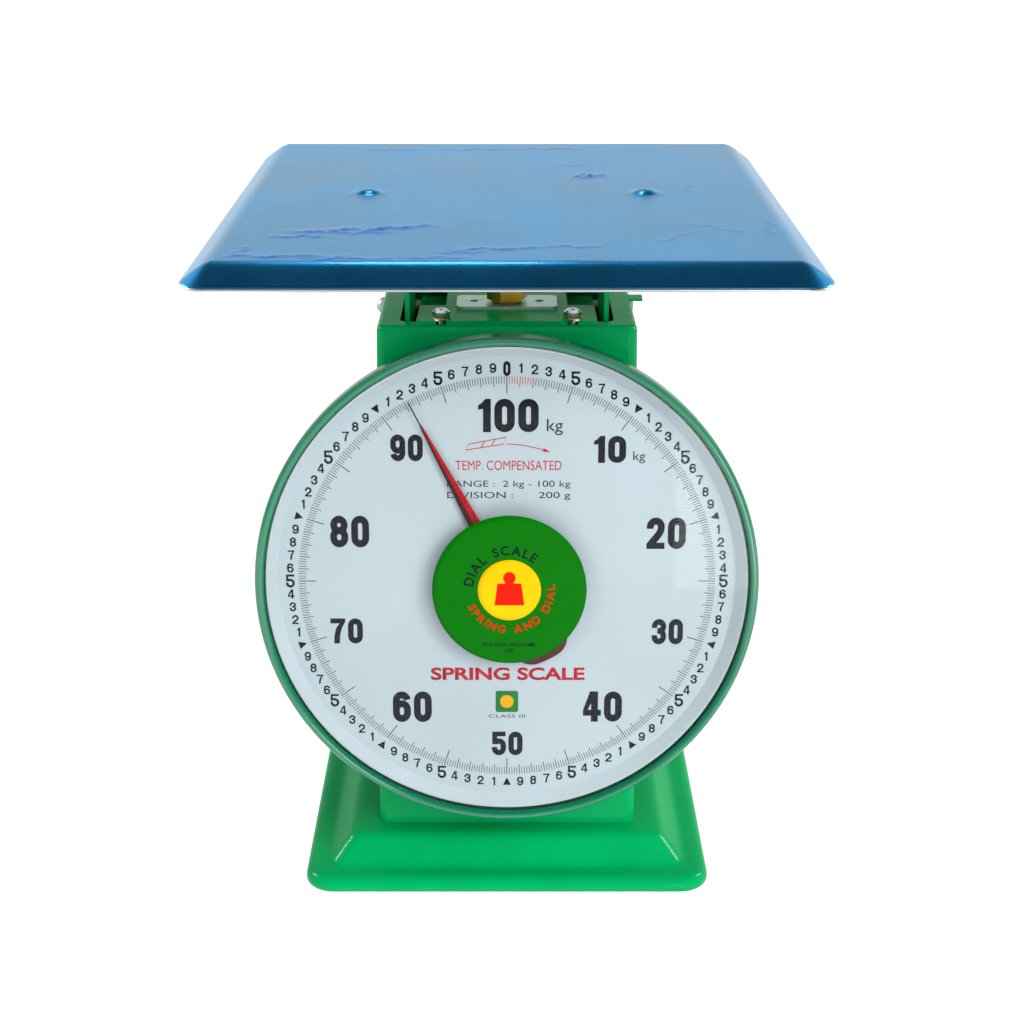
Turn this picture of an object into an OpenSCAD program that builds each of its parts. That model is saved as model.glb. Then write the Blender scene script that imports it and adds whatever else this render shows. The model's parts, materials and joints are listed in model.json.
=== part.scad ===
// Mechanical dial platform scale, 100 kg. Millimetres, +Z up, dial facing -Y.
// Origin: on the floor, under the centre of the platform.

/* [Platform] */
// width of the weighing platform at its rim
platform_w = 364; // [300:1:460]
// depth of the weighing platform at its rim
platform_d = 384; // [300:1:460]
// height of the platform's lower rim above the floor
platform_rim_z = 428; // [400:1:460]
// height of the platform's sloping rim
platform_drop = 12; // [6:1:20]
// width of the platform's sloping rim, seen from above
platform_slope = 16; // [8:1:24]
// sheet thickness of the platform
platform_t = 1.5; // [1:0.5:3]
// corner radius of the platform at the rim
platform_r = 18; // [17:1:40]
// distance of each platform bolt from the centre
platform_bolt_x = 90; // [75:1:110]

/* [Load frame] */
// inner face of each load frame side plate, from the centre
frame_in_x = 62.5; // [60:0.5:64]
// thickness of the load frame side plates
frame_t = 3; // [2:0.5:4]
// full travel of the platform
travel = 26.8; // [20:0.1:30]

/* [Case] */
// width of the case at its top
case_top_w = 167; // [160:1:180]
// width of the case at its foot
case_foot_w = 175; // [165:1:190]
// height of the top of the case above the floor
case_top_z = 366; // [350:1:380]
// front edge of the top of the case, measured back from the origin
case_top_y = -54; // [-60:1:-50]
// back face of the case
case_back_y = 70; // [66:1:90]
// sheet thickness of the case and the base
sheet_t = 2; // [1.5:0.5:3]

/* [Base] */
// width of the base at its rim
base_w = 271; // [240:1:300]
// front edge of the base
base_front_y = -146; // [-160:1:-130]
// depth of the base
base_d = 270; // [240:1:300]
// height of the base's top face above the floor
base_top_z = 26; // [20:1:36]
// corner radius of the base rim
base_r = 20; // [18:1:30]

/* [Dial] */
// outer radius of the bezel
bezel_r = 160; // [150:1:170]
// angle by which the dial and the case front lean back
lean = 8; // [0:1:10]
// height of the dial's centre at the front of the bezel
dial_z = 214; // [200:1:230]
// depth of the dial drum, from the bezel's front to the case
drum_depth = 45; // [40:1:55]
// radius of the printed dial plate
dial_r = 147.5; // [140:0.5:150]
// reading of the pointer at rest, in kilograms before zero
rest_kg = 7.7; // [0:0.1:10]

/* [Movement] */
// module of the rack and pinion
gear_m = 0.5; // [0.5:0.1:0.6]
// number of teeth on the pinion
pinion_n = 16; // [14:1:18]

/* [Springs] */
// distance of each main spring from the centre line
spring_x = 28; // [26:1:32]
// wire diameter of the main springs
spring_wire = 5; // [4:0.5:6]
// mean radius of the main springs' coils
spring_r = 15; // [13:0.5:17]
// number of turns in each main spring
spring_turns = 12; // [8:1:16]

/* [Hidden] */
$fn = 48;
eps = 0.01;
run_gap = 0.05;
suspension_y = -12;
platform_top_z = platform_rim_z + platform_drop;
platform_under_z = platform_top_z - platform_t;
film_t = 0.3;
case_lean_run = (case_top_z - base_top_z) * tan(lean);
case_foot_y = case_top_y - case_lean_run;
case_taper = (case_foot_w - case_top_w) / (case_top_z - base_top_z) / 2;
dial_y = case_top_y - (case_top_z - dial_z) * tan(lean) - drum_depth / cos(lean) - eps;
base_y = base_front_y + base_d / 2;
base_rim_z = 1.5;
base_ledge_z = 10;
base_ledge_in = 17;
base_slope_in = 28.5;
base_bend_in = 32;
base_plateau_in = 36;
case_corner = 6;
top_bend = 3.5;
frame_out_x = frame_in_x + frame_t;
frame_front_y = -41;
frame_back_y = 30;
spider_t = 3;
spider_z = platform_under_z - spider_t;
frame_foot_z = 92;
arm_len = 80;
arm_pivot_y = 50;
arm_rise = 5;
arm_pin_y = arm_pivot_y - arm_len * cos(arm_rise);
arm_pin_rise = arm_len * sin(arm_rise);
upper_pivot_z = 350;
lower_pivot_z = 110;
arm_bar_out_x = 59.5;
arm_bar_t = 3.5;
axle_r = 4;
pin_r = 3;
crossbar_z = 140;
crossbar_h = 16.5;
bridge_z = case_top_z;
bridge_t = 3;
bridge_half_w = 57.5;
bridge_waist = 40;
bridge_bolt_x = 42;
bridge_bolt_front_y = -46.8;
bridge_bolt_back_y = 60;
zero_plate_t = 2;
zero_plate_z = bridge_z + bridge_t;
knob_r = 13.5;
knob_h = 15;
knob_z = zero_plate_z + zero_plate_t;
screw_r = 5;
hanger_z = 336.5;
hanger_h = 13.5;
hanger_t = 5;
hook_r = 7;
hook_wire_r = spring_wire / 2 - 0.3;
hook_hole_r = hook_wire_r + 1;
hook_top_z = hanger_z + hook_hole_r + 2.3;
hook_loop_top = hook_top_z - hook_r;
coil_top_z = 319;
coil_foot_z = 179;
hook_foot_z = crossbar_z + crossbar_h - hook_hole_r - 2.3;
hook_loop_foot = hook_foot_z + hook_r;
top_opening_half_w = 69;
top_opening_front_y = -43;
top_opening_back_y = 54;
plate_front_y = 49;
plate_back_y = 76;
plate_t = 2.5;
movement_half_w = 38;
movement_half_h = 45;
pillar_x = 32;
pillar_z = 38;
pinion_y = 58;
pinion_len = 10;
pitch_r = gear_m * pinion_n / 2;
gear_pitch = PI * gear_m;
tooth_thin = 0.08;
shaft_r = 2;
rack_w = 5.4;
rack_back_x = pitch_r + 0.625 + rack_w;
rack_y = 59;
rack_t = 8;
rack_foot = -75;
rack_pin_x = pitch_r + 0.625 + rack_w / 2;
rack_mid_y = rack_y + rack_t / 2;
rack_pin_y = dial_y + rack_mid_y * cos(lean) + rack_foot * sin(lean);
rack_pin_z = dial_z + rack_foot * cos(lean) - rack_mid_y * sin(lean);
rack_pin_r = 2;
rest_angle = rest_kg * 3.6;

// ---------- helpers ----------

// flat rounded rectangle, centred
module rounded_rect(w, d, r) {
    hull_free_w = w - 2 * r;
    hull_free_d = d - 2 * r;
    square([w, hull_free_d], center = true);
    square([hull_free_w, d], center = true);
    for (sx = [-1, 1], sy = [-1, 1])
        translate([sx * hull_free_w / 2, sy * hull_free_d / 2])
            circle(r = r, $fn = 32);
}

// thin slab of a rounded rectangle, for building tapered sheets
module slab(w, d, r, z) {
    translate([0, 0, z])
        linear_extrude(eps)
            rounded_rect(w, d, r);
}

module rod(r, h) {
    cylinder(r = r, h = h);
}

// cylinder along +X starting at x
module rod_x(r, x, length) {
    translate([x, 0, 0])
        rotate([0, 90, 0])
            cylinder(r = r, h = length);
}

// cylinder along +Y starting at y
module rod_y(r, y, length) {
    translate([0, y, 0])
        rotate([-90, 0, 0])
            cylinder(r = r, h = length);
}

// local frame of the dial: origin at the bezel's front, +Y into the case, +Z up the dial
module dial_frame() {
    translate([0, dial_y, dial_z])
        rotate([-lean, 0, 0])
            children();
}

// turned part about the dial's axis; the profile is drawn as [radius, depth]
module dial_turned() {
    rotate([-90, 0, 0])
        rotate_extrude($fn = 96)
            children();
}

module hex_prism(across, h) {
    cylinder(d = across / cos(30), h = h, $fn = 6);
}

// machine screw with a pan head, standing along -Z from the head's underside
module screw_down(shank_r, length, head_r, head_h) {
    translate([0, 0, -length])
        cylinder(r = shank_r, h = length);
    difference() {
        cylinder(r = head_r, h = head_h);
        translate([0, 0, head_h])
            cube([head_r * 2.2, head_r * 0.3, head_h], center = true);
    }
}

// ---------- base ----------

foot_in = 16;
foot_x = base_w / 2 - foot_in;
foot_y = base_d / 2 - foot_in;
foot_r = 7;
module at_feet() {
    for (sx = [-1, 1], sy = [-1, 1])
        translate([sx * foot_x, base_y + sy * foot_y, 0])
            children();
}

case_bolt_x = 76;
case_bolt_front_y = -84;
case_bolt_back_y = 44;
module at_case_bolts() {
    for (sx = [-1, 1], y = [case_bolt_front_y, case_bolt_back_y])
        translate([sx * case_bolt_x, y, base_top_z])
            children();
}

// one level of the base: shrink is how far it lies inside the rim
module base_level(shrink, r, z) {
    slab(base_w - 2 * shrink, base_d - 2 * shrink, r, z);
}

module base_skin(inset, drop) {
    hull() {
        base_level(inset, base_r - inset, base_rim_z - drop);
        base_level(inset, base_r - inset, 3.5 - drop);
        base_level(inset + 1.6, base_r - 1.6 - inset, 7.3 - drop);
        base_level(inset + 4.4, base_r - 4.4 - inset, 9.4 - drop);
        base_level(inset + 8, base_r - 8 - inset, base_ledge_z - drop - eps);
    }
    hull() {
        base_level(inset + base_ledge_in, 7, base_ledge_z - drop - 2 * eps);
        base_level(inset + base_slope_in, 6, base_top_z - 3 - drop);
        base_level(inset + base_bend_in, 6, base_top_z - 0.7 - drop);
        base_level(inset + base_plateau_in, 6, base_top_z - drop - eps);
    }
}

module base_pan() {
    color([0.05, 0.62, 0.33])
    difference() {
        translate([0, base_y, 0])
            difference() {
                base_skin(0, 0);
                base_skin(sheet_t, sheet_t);
            }
        at_case_bolts()
            translate([0, 0, -sheet_t - 1])
                rod(3.3, sheet_t + 2);
        at_feet()
            translate([0, 0, base_ledge_z - sheet_t - 1])
                rod(2.2, sheet_t + 2);
    }
}

module base_feet() {
    color([0.1, 0.1, 0.1])
    at_feet()
        difference() {
            cylinder(r1 = foot_r, r2 = foot_r - 2, h = base_ledge_z - sheet_t);
            translate([0, 0, -1])
                rod(4.2, 4);
            rod(2.2, base_ledge_z);
        }
}

module feet_screws() {
    color([0.75, 0.75, 0.77])
    at_feet()
        translate([0, 0, 3])
            rotate([180, 0, 0])
                screw_down(2.1, base_ledge_z - 3, 3.8, 1.8);
}

// ---------- case ----------

// horizontal slice of the case at height z, inset from its outer faces
module case_slab(inset, z) {
    w = case_foot_w - 2 * inset - 2 * case_taper * (z - base_top_z);
    front = case_foot_y + (z - base_top_z) * tan(lean) + inset;
    back = case_back_y - inset;
    translate([0, (front + back) / 2, 0])
        slab(w, back - front, max(case_corner - inset, 1), z);
}

// tapered block of the case with a bend all round its top
module case_block(inset, z_low, z_high) {
    bend = top_bend - inset;
    hull() {
        case_slab(inset, z_low);
        for (a = [0 : 22.5 : 90])
            case_slab(inset + bend * (1 - cos(a)), z_high - eps - bend * (1 - sin(a)));
    }
}

rear_opening_half_w = 62;
rear_opening_low = 46;
rear_opening_high = 330;
seal_tab_y = 16;
seal_tab_in = 4;
spindle_hole_r = 24;
module case_shell() {
    color([0.04, 0.55, 0.29])
    difference() {
        union() {
            case_block(0, base_top_z, case_top_z);
            translate([case_top_w / 2 - seal_tab_in, seal_tab_y - 5, case_top_z - sheet_t])
                cube([seal_tab_in + 8, 10, sheet_t]);
        }
        case_block(sheet_t, base_top_z + sheet_t, case_top_z - sheet_t);
        translate([0, (case_foot_y + case_back_y) / 2 + 6, base_top_z - 1])
            linear_extrude(sheet_t + 2)
                rounded_rect(case_foot_w - 38, case_back_y - case_foot_y - 44, 6);
        translate([0, (top_opening_front_y + top_opening_back_y) / 2, case_top_z - sheet_t - 1])
            linear_extrude(sheet_t + 2)
                rounded_rect(2 * top_opening_half_w, top_opening_back_y - top_opening_front_y, 5);
        translate([-rear_opening_half_w, case_back_y - 10, rear_opening_low])
            cube([2 * rear_opening_half_w, 20, rear_opening_high - rear_opening_low]);
        for (z = [upper_pivot_z, lower_pivot_z])
            translate([0, arm_pivot_y, z])
                rod_x(axle_r + run_gap, -100, 200);
        at_case_bolts()
            translate([0, 0, -1])
                rod(3.3, sheet_t + 2);
        for (sx = [-1, 1], y = [bridge_bolt_front_y, bridge_bolt_back_y])
            translate([sx * bridge_bolt_x, y, case_top_z - sheet_t - 1])
                rod(3.3, sheet_t + 2);
        at_cover_screws()
            rod_y(1.8, -sheet_t - 1, sheet_t + 2);
        dial_frame() {
            rod_y(spindle_hole_r, drum_depth - 5, 12);
            at_drum_screws()
                rod_y(2.2, drum_depth - 5, 12);
            at_pillars()
                rod_y(1.7, drum_depth - 5, 12);
        }
    }
}

module case_bolts() {
    color([0.75, 0.75, 0.77])
    at_case_bolts() {
        translate([0, 0, sheet_t])
            hex_prism(10, 4);
        translate([0, 0, -sheet_t - 8])
            rod(3, sheet_t * 2 + 8);
        translate([0, 0, -sheet_t - 5])
            hex_prism(10, 5);
    }
}

cover_t = 1.5;
cover_low = 36;
cover_high = 342;
cover_half_w = 72;
module at_cover_screws() {
    for (sx = [-1, 1], z = [cover_low + 8, (cover_low + cover_high) / 2, cover_high - 8])
        translate([sx * (cover_half_w - 6), case_back_y, z])
            children();
}

vent_rows = 6;
vent_pitch = 12;
module rear_cover() {
    color([0.04, 0.5, 0.27])
    difference() {
        translate([0, case_back_y, (cover_low + cover_high) / 2])
            rotate([-90, 0, 0])
                linear_extrude(cover_t)
                    rounded_rect(2 * cover_half_w, cover_high - cover_low, 6);
        at_cover_screws()
            rod_y(1.8, -1, cover_t + 2);
        for (i = [0 : vent_rows - 1])
            translate([-35, case_back_y - 1, 210 + i * vent_pitch])
                cube([70, cover_t + 2, 3]);
    }
}

module rear_cover_screws() {
    color([0.75, 0.75, 0.77])
    at_cover_screws()
        translate([0, cover_t, 0])
            rotate([-90, 0, 0])
                screw_down(1.7, cover_t + 6, 3.4, 1.8);
}

module rating_plate() {
    color([0.8, 0.8, 0.82])
    translate([0, case_back_y + cover_t, 130])
        rotate([-90, 0, 0])
            linear_extrude(0.5)
                rounded_rect(70, 42, 3);
}

// ---------- spring suspension ----------

module bridge_outline() {
    front_y = case_top_y + 2.5;
    back_y = case_back_y - 3;
    wing_d = 36;
    translate([-bridge_half_w, front_y])
        square([2 * bridge_half_w, wing_d]);
    translate([-bridge_half_w, back_y - 24])
        square([2 * bridge_half_w, 24]);
    translate([-bridge_waist, front_y])
        square([2 * bridge_waist, back_y - front_y]);
}

module spring_bridge() {
    slot_r = 3.3;
    color([0.04, 0.5, 0.27])
    difference() {
        translate([0, 0, bridge_z])
            linear_extrude(bridge_t)
                bridge_outline();
        for (sx = [-1, 1], end = [-1, 1])
            translate([sx * bridge_bolt_x, end < 0 ? bridge_bolt_front_y : bridge_bolt_back_y, bridge_z - 1]) {
                rod(slot_r, bridge_t + 2);
                translate([-slot_r, end < 0 ? -12 : 0, 0])
                    cube([2 * slot_r, 12, bridge_t + 2]);
            }
        translate([0, suspension_y, bridge_z - 1])
            rod(screw_r + 0.4, bridge_t + 2);
    }
}

module at_bridge_bolts() {
    for (sx = [-1, 1], y = [bridge_bolt_front_y, bridge_bolt_back_y])
        translate([sx * bridge_bolt_x, y, bridge_z + bridge_t])
            children();
}

// hexagon head with a chamfered top and a cross recess
module recessed_head(across, h) {
    chamfer_h = 1.1;
    difference() {
        union() {
            hex_prism(across, h - chamfer_h);
            translate([0, 0, h - chamfer_h])
                cylinder(r1 = across / 2 - 0.1, r2 = across / 2 - 1, h = chamfer_h);
        }
        translate([0, 0, h])
            for (turn = [0, 90])
                rotate([0, 0, turn])
                    cube([across * 0.55, across * 0.13, 3], center = true);
    }
}

washer_t = 1.2;
module bridge_bolts() {
    color([0.78, 0.78, 0.8])
    at_bridge_bolts() {
        translate([0, 0, washer_t])
            recessed_head(10, 5);
        translate([0, 0, -bridge_t - sheet_t - 7])
            rod(3, bridge_t + sheet_t + 7 + washer_t);
        translate([0, 0, -bridge_t - sheet_t - 5])
            hex_prism(10, 5);
    }
}

module bridge_washers() {
    color([0.8, 0.7, 0.35])
    at_bridge_bolts()
        difference() {
            rod(6, washer_t);
            translate([0, 0, -1])
                rod(3.3, washer_t + 2);
        }
}

zero_plate_w = 66;
zero_plate_d = 28;
zero_hole_x = 21.5;
module zero_lock_plate() {
    color([0.75, 0.8, 0.78])
    difference() {
        translate([0, suspension_y, zero_plate_z])
            linear_extrude(zero_plate_t)
                rounded_rect(zero_plate_w, zero_plate_d, 4);
        for (sx = [-1, 1])
            translate([sx * zero_hole_x, suspension_y, zero_plate_z - 1])
                rod(2.7, zero_plate_t + 2);
        translate([0, suspension_y, zero_plate_z - 1])
            rod(screw_r + 0.4, zero_plate_t + 2);
    }
}

knob_collar = 2;
module zero_nut() {
    flat_r = knob_r * cos(30);
    color([0.72, 0.55, 0.2])
    translate([0, suspension_y, knob_z])
        difference() {
            union() {
                cylinder(r1 = flat_r - 1.8, r2 = flat_r - 0.3, h = knob_collar);
                translate([0, 0, knob_collar])
                    rotate([0, 0, 12])
                        hex_prism(2 * flat_r, knob_h - 2 * knob_collar);
                translate([0, 0, knob_h - knob_collar])
                    cylinder(r1 = flat_r - 0.3, r2 = flat_r - 1.8, h = knob_collar);
            }
            translate([0, 0, -1])
                rod(screw_r + run_gap, knob_h + 2);
        }
}

screw_top_z = 396;
module zero_screw() {
    color([0.6, 0.6, 0.62])
    translate([0, suspension_y, hanger_z]) {
        rod(screw_r, screw_top_z - hanger_z - 1);
        translate([0, 0, screw_top_z - hanger_z - 1])
            cylinder(r1 = screw_r, r2 = screw_r - 1, h = 1);
    }
}

module spring_hanger() {
    boss_r = 9;
    color([0.55, 0.57, 0.6])
    difference() {
        union() {
            translate([0, suspension_y + hanger_t / 2, hanger_z + hanger_h / 2])
                rotate([90, 0, 0])
                    linear_extrude(hanger_t)
                        rounded_rect(80, hanger_h, 4);
            translate([0, suspension_y, hanger_z])
                rod(boss_r, hanger_h);
        }
        translate([0, suspension_y, hanger_z - 1])
            rod(screw_r + run_gap, hanger_h + 2);
        for (sx = [-1, 1])
            translate([sx * spring_x, suspension_y, hook_top_z])
                rod_y(hook_hole_r, -20, 40);
    }
}

coil_steps = 16;
wire_sides = 8;
// closed helical coil with flat ring ends, built as one swept skin
module coil(r, wire_r, low, high, turns) {
    steps = turns * coil_steps;
    points = [for (i = [0 : steps], k = [0 : wire_sides - 1])
        let (a = i * 360 / coil_steps, b = k * 360 / wire_sides, rr = r + wire_r * cos(b))
        [rr * cos(a), rr * sin(a), low + (high - low) * i / steps + wire_r * sin(b)]];
    sides = [for (i = [0 : steps - 1], k = [0 : wire_sides - 1])
        let (n = (k + 1) % wire_sides, p = i * wire_sides, q = p + wire_sides)
        [p + k, p + n, q + n, q + k]];
    cap_low = [[for (k = [wire_sides - 1 : -1 : 0]) k]];
    cap_high = [[for (k = [0 : wire_sides - 1]) steps * wire_sides + k]];
    polyhedron(points = points, faces = concat(sides, cap_low, cap_high), convexity = 10);
}

// hook loop standing in the YZ plane, with its centre at z
module hook_loop(z) {
    translate([0, 0, z])
        rotate([0, 90, 0])
            rotate_extrude($fn = 48)
                translate([hook_r, 0])
                    circle(r = hook_wire_r, $fn = 20);
}

module end_bar(z) {
    translate([-spring_r, 0, z])
        rod_x(spring_wire / 2 - 0.2, 0, 2 * spring_r);
}

module main_spring(x) {
    color([0.5, 0.5, 0.52])
    translate([x, suspension_y, 0]) {
        coil(spring_r, spring_wire / 2, coil_foot_z, coil_top_z, spring_turns);
        end_bar(coil_top_z);
        end_bar(coil_foot_z);
        translate([0, 0, coil_top_z])
            rod(hook_wire_r, hook_loop_top - hook_r - coil_top_z);
        hook_loop(hook_loop_top);
        translate([0, 0, hook_loop_foot + hook_r])
            rod(hook_wire_r, coil_foot_z - hook_loop_foot - hook_r);
        hook_loop(hook_loop_foot);
    }
}

module spring_left() {
    main_spring(-spring_x);
}

module spring_right() {
    main_spring(spring_x);
}

// ---------- platform and load frame ----------

module tray_skin(inset, drop) {
    hull() {
        slab(platform_w - 2 * inset, platform_d - 2 * inset, platform_r - inset,
            platform_rim_z - drop);
        slab(platform_w - 2 * inset, platform_d - 2 * inset, platform_r - inset,
            platform_rim_z - drop + 2);
        slab(platform_w - 2 * platform_slope - inset / 2, platform_d - 2 * platform_slope - inset / 2,
            platform_r - platform_slope + 3, platform_top_z - drop - film_t - eps);
    }
}

module platform_bolt_holes(r) {
    for (sx = [-1, 1])
        translate([sx * platform_bolt_x, 0, spider_z - 5])
            rod(r, 20);
}

module platform_tray() {
    color([0.78, 0.8, 0.8])
    difference() {
        tray_skin(0, 0);
        tray_skin(platform_t, platform_t);
        platform_bolt_holes(3.3);
    }
}

dome_r = 12;
dome_half = 8;
dome_base = sqrt(dome_r * dome_r - dome_half * dome_half);
module platform_film() {
    color([0.1, 0.45, 0.7])
    translate([0, 0, platform_top_z - film_t]) {
        linear_extrude(film_t)
            difference() {
                rounded_rect(platform_w - 2 * platform_slope, platform_d - 2 * platform_slope, 5);
                for (sx = [-1, 1])
                    translate([sx * platform_bolt_x, 0])
                        circle(r = dome_half + 0.3);
            }
        for (sx = [-1, 1])
            translate([sx * platform_bolt_x, 0, -dome_base])
                rotate_extrude()
                    intersection() {
                        difference() {
                            circle(r = dome_r + film_t, $fn = 64);
                            circle(r = dome_r + eps, $fn = 64);
                        }
                        translate([0, dome_base])
                            square([dome_r, dome_r]);
                    }
    }
}

module platform_bolts() {
    dome_z = platform_top_z - film_t;
    color([0.7, 0.72, 0.74])
    for (sx = [-1, 1])
        translate([sx * platform_bolt_x, 0, 0]) {
            translate([0, 0, dome_z - dome_base])
                rotate_extrude()
                    intersection() {
                        circle(r = dome_r, $fn = 64);
                        translate([0, dome_base])
                            square([dome_half, dome_r]);
                    }
            translate([0, 0, spider_z - 10])
                rod(3, dome_z - spider_z + 10);
        }
}

module platform_nuts() {
    color([0.7, 0.72, 0.74])
    for (sx = [-1, 1])
        translate([sx * platform_bolt_x, 0, spider_z - 5])
            difference() {
                hex_prism(10, 5);
                translate([0, 0, -1])
                    rod(3.05, 7);
            }
}

module at_spider_screws() {
    for (sx = [-1, 1], y = [-30, 18])
        translate([sx * (frame_in_x - 10), y, spider_z])
            children();
}

module spider_plate() {
    color([0.04, 0.5, 0.27])
    difference() {
        translate([0, 0, spider_z])
            linear_extrude(spider_t - film_t)
                rounded_rect(226, 84, 10);
        platform_bolt_holes(3.3);
        at_spider_screws()
            translate([0, 0, -1])
                rod(2.6, spider_t + 2);
    }
}

module spider_screws() {
    color([0.7, 0.72, 0.74])
    at_spider_screws() {
        translate([0, 0, -frame_t - 6])
            rod(2.5, frame_t + spider_t - film_t + 6);
        translate([0, 0, -frame_t - 4])
            hex_prism(8, 4);
    }
}

module guide_slot(z) {
    for (dy = [-0.4, 2.4])
        translate([0, arm_pin_y + dy, z])
            rod_x(pin_r + 0.2, -20, 40);
    translate([-20, arm_pin_y - 0.4, z - pin_r - 0.2])
        cube([40, 2.8, 2 * (pin_r + 0.2)]);
}

module load_side(side) {
    color([0.04, 0.5, 0.27])
    difference() {
        union() {
            translate([side > 0 ? frame_in_x : -frame_out_x, frame_front_y, frame_foot_z])
                cube([frame_t, frame_back_y - frame_front_y, spider_z - frame_foot_z]);
            translate([side > 0 ? frame_in_x - 20 : -frame_in_x, frame_front_y, spider_z - frame_t])
                cube([20, frame_back_y - frame_front_y, frame_t]);
        }
        translate([side * (frame_in_x + frame_t / 2), 0, 0]) {
            guide_slot(upper_pivot_z + arm_pin_rise);
            guide_slot(lower_pivot_z + arm_pin_rise);
            translate([-10, -24, 185])
                cube([20, 36, 120]);
            for (dy = [-7, 7])
                translate([0, suspension_y + dy, crossbar_z + crossbar_h / 2])
                    rod_x(2.1, -10, 20);
        }
        at_spider_screws()
            translate([0, 0, -frame_t - 1])
                rod(2.6, frame_t + 2);
    }
}

module load_side_left() {
    load_side(-1);
}

module load_side_right() {
    load_side(1);
}

module spring_crossbar() {
    bar_t = 5;
    foot_t = 3;
    color([0.55, 0.57, 0.6])
    difference() {
        union() {
            translate([-frame_in_x, suspension_y - bar_t / 2, crossbar_z])
                cube([2 * frame_in_x, bar_t, crossbar_h]);
            for (x = [-frame_in_x, frame_in_x - foot_t])
                translate([x, suspension_y - 12, crossbar_z])
                    cube([foot_t, 24, crossbar_h]);
        }
        for (sx = [-1, 1])
            translate([sx * spring_x, suspension_y, hook_foot_z])
                rod_y(hook_hole_r, -20, 40);
        for (dy = [-7, 7])
            translate([0, suspension_y + dy, crossbar_z + crossbar_h / 2])
                rod_x(2.1, -frame_in_x - 1, 2 * frame_in_x + 2);
    }
}

module crossbar_screws() {
    color([0.7, 0.72, 0.74])
    for (sx = [-1, 1], dy = [-7, 7])
        translate([sx * frame_out_x, suspension_y + dy, crossbar_z + crossbar_h / 2])
            rotate([0, sx * 90, 0]) {
                screw_down(2, frame_t + 8, 3.4, 2);
                translate([0, 0, -frame_t - 6.2])
                    hex_prism(7, 3.2);
            }
}

rack_arm_x = 18;
rack_tab_y = 8;
rack_tab_t = 3;
module rack_arm() {
    tab_y = rack_pin_y + rack_tab_y;
    color([0.55, 0.57, 0.6])
    difference() {
        union() {
            translate([rack_arm_x - 6, tab_y, crossbar_z - 3])
                cube([12, suspension_y + 6 - tab_y, 3]);
            translate([rack_pin_x - 6, tab_y, rack_pin_z - 6])
                cube([rack_arm_x - rack_pin_x + 12, rack_tab_t, crossbar_z - rack_pin_z + 6]);
        }
        translate([rack_pin_x, 0, rack_pin_z])
            rod_y(rack_pin_r, rack_pin_y - 20, 60);
    }
}

module bimetal_strip() {
    color([0.72, 0.55, 0.2])
    translate([rack_arm_x - 5, rack_pin_y + rack_tab_y + rack_tab_t + 0.5, crossbar_z - 4.5])
        cube([10, 40, 1.5]);
}

module rack_pin() {
    color([0.7, 0.72, 0.74])
    translate([rack_pin_x, 0, rack_pin_z])
        rod_y(rack_pin_r, rack_pin_y - 8, 8 + rack_tab_y + rack_tab_t);
}

// ---------- guide arms ----------

// outer face of the case's side at height z
function case_side_x(z) = case_top_w / 2 + case_taper * (case_top_z - z);

// fixed axle through the case, with a domed head on the left and a clip end on the right
module fixed_axle(z) {
    head_r = 6;
    collar = 1.3;
    side_x = case_side_x(z) + 0.3;
    color([0.72, 0.72, 0.76])
    translate([0, arm_pivot_y, z]) {
        rod_x(axle_r, -side_x, 2 * side_x + 4);
        rod_x(head_r, -side_x - collar, collar);
        translate([-side_x - collar, 0, 0])
            rotate([0, -90, 0])
                rotate_extrude()
                    intersection() {
                        circle(r = head_r);
                        square(head_r);
                    }
    }
}

module upper_axle() {
    fixed_axle(upper_pivot_z);
}

module lower_axle() {
    fixed_axle(lower_pivot_z);
}

module axle_clips() {
    color([0.3, 0.3, 0.32])
    for (z = [upper_pivot_z, lower_pivot_z])
        translate([0, arm_pivot_y, z])
            difference() {
                rod_x(6.5, case_side_x(z) + 1.2, 1.2);
                rod_x(axle_r, 0, 200);
            }
}

arm_bore_r = axle_r + run_gap;
module guide_arm(z) {
    tube_r = 6.5;
    bar_h = 9;
    color([0.04, 0.5, 0.27])
    translate([0, arm_pivot_y, z])
        rotate([-arm_rise, 0, 0])
            difference() {
                union() {
                    rod_x(tube_r, -arm_bar_out_x, 2 * arm_bar_out_x);
                    for (x = [-arm_bar_out_x, arm_bar_out_x - arm_bar_t]) {
                        translate([x, -arm_len, -bar_h / 2])
                            cube([arm_bar_t, arm_len, bar_h]);
                        translate([0, -arm_len, 0])
                            rod_x(bar_h / 2, x, arm_bar_t);
                    }
                }
                rod_x(arm_bore_r, -80, 160);
                translate([0, -arm_len, 0])
                    rod_x(pin_r, -80, 160);
            }
}

module guide_pins(z) {
    pin_out = frame_out_x + 1.5;
    pin_in = arm_bar_out_x - arm_bar_t - 1;
    color([0.72, 0.72, 0.76])
    translate([0, arm_pin_y, z + arm_pin_rise])
        for (x = [-pin_out, pin_in])
            rod_x(pin_r, x, pin_out - pin_in);
}

module upper_guide_arm() {
    guide_arm(upper_pivot_z);
}

module upper_guide_pins() {
    guide_pins(upper_pivot_z);
}

module lower_guide_arm() {
    guide_arm(lower_pivot_z);
}

module lower_guide_pins() {
    guide_pins(lower_pivot_z);
}

// ---------- movement ----------

module at_pillars() {
    for (sx = [-1, 1], sz = [-1, 1])
        translate([sx * pillar_x, 0, sz * pillar_z])
            children();
}

module movement_plate(y) {
    color([0.72, 0.6, 0.3])
    dial_frame()
        difference() {
            translate([-movement_half_w, y, -movement_half_h])
                cube([2 * movement_half_w, plate_t, 2 * movement_half_h]);
            rod_y(shaft_r + run_gap, y - 1, plate_t + 2);
            at_pillars()
                rod_y(1.6, y - 1, plate_t + 2);
        }
}

module movement_front_plate() {
    movement_plate(plate_front_y);
}

module movement_rear_plate() {
    movement_plate(plate_back_y);
}

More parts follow.
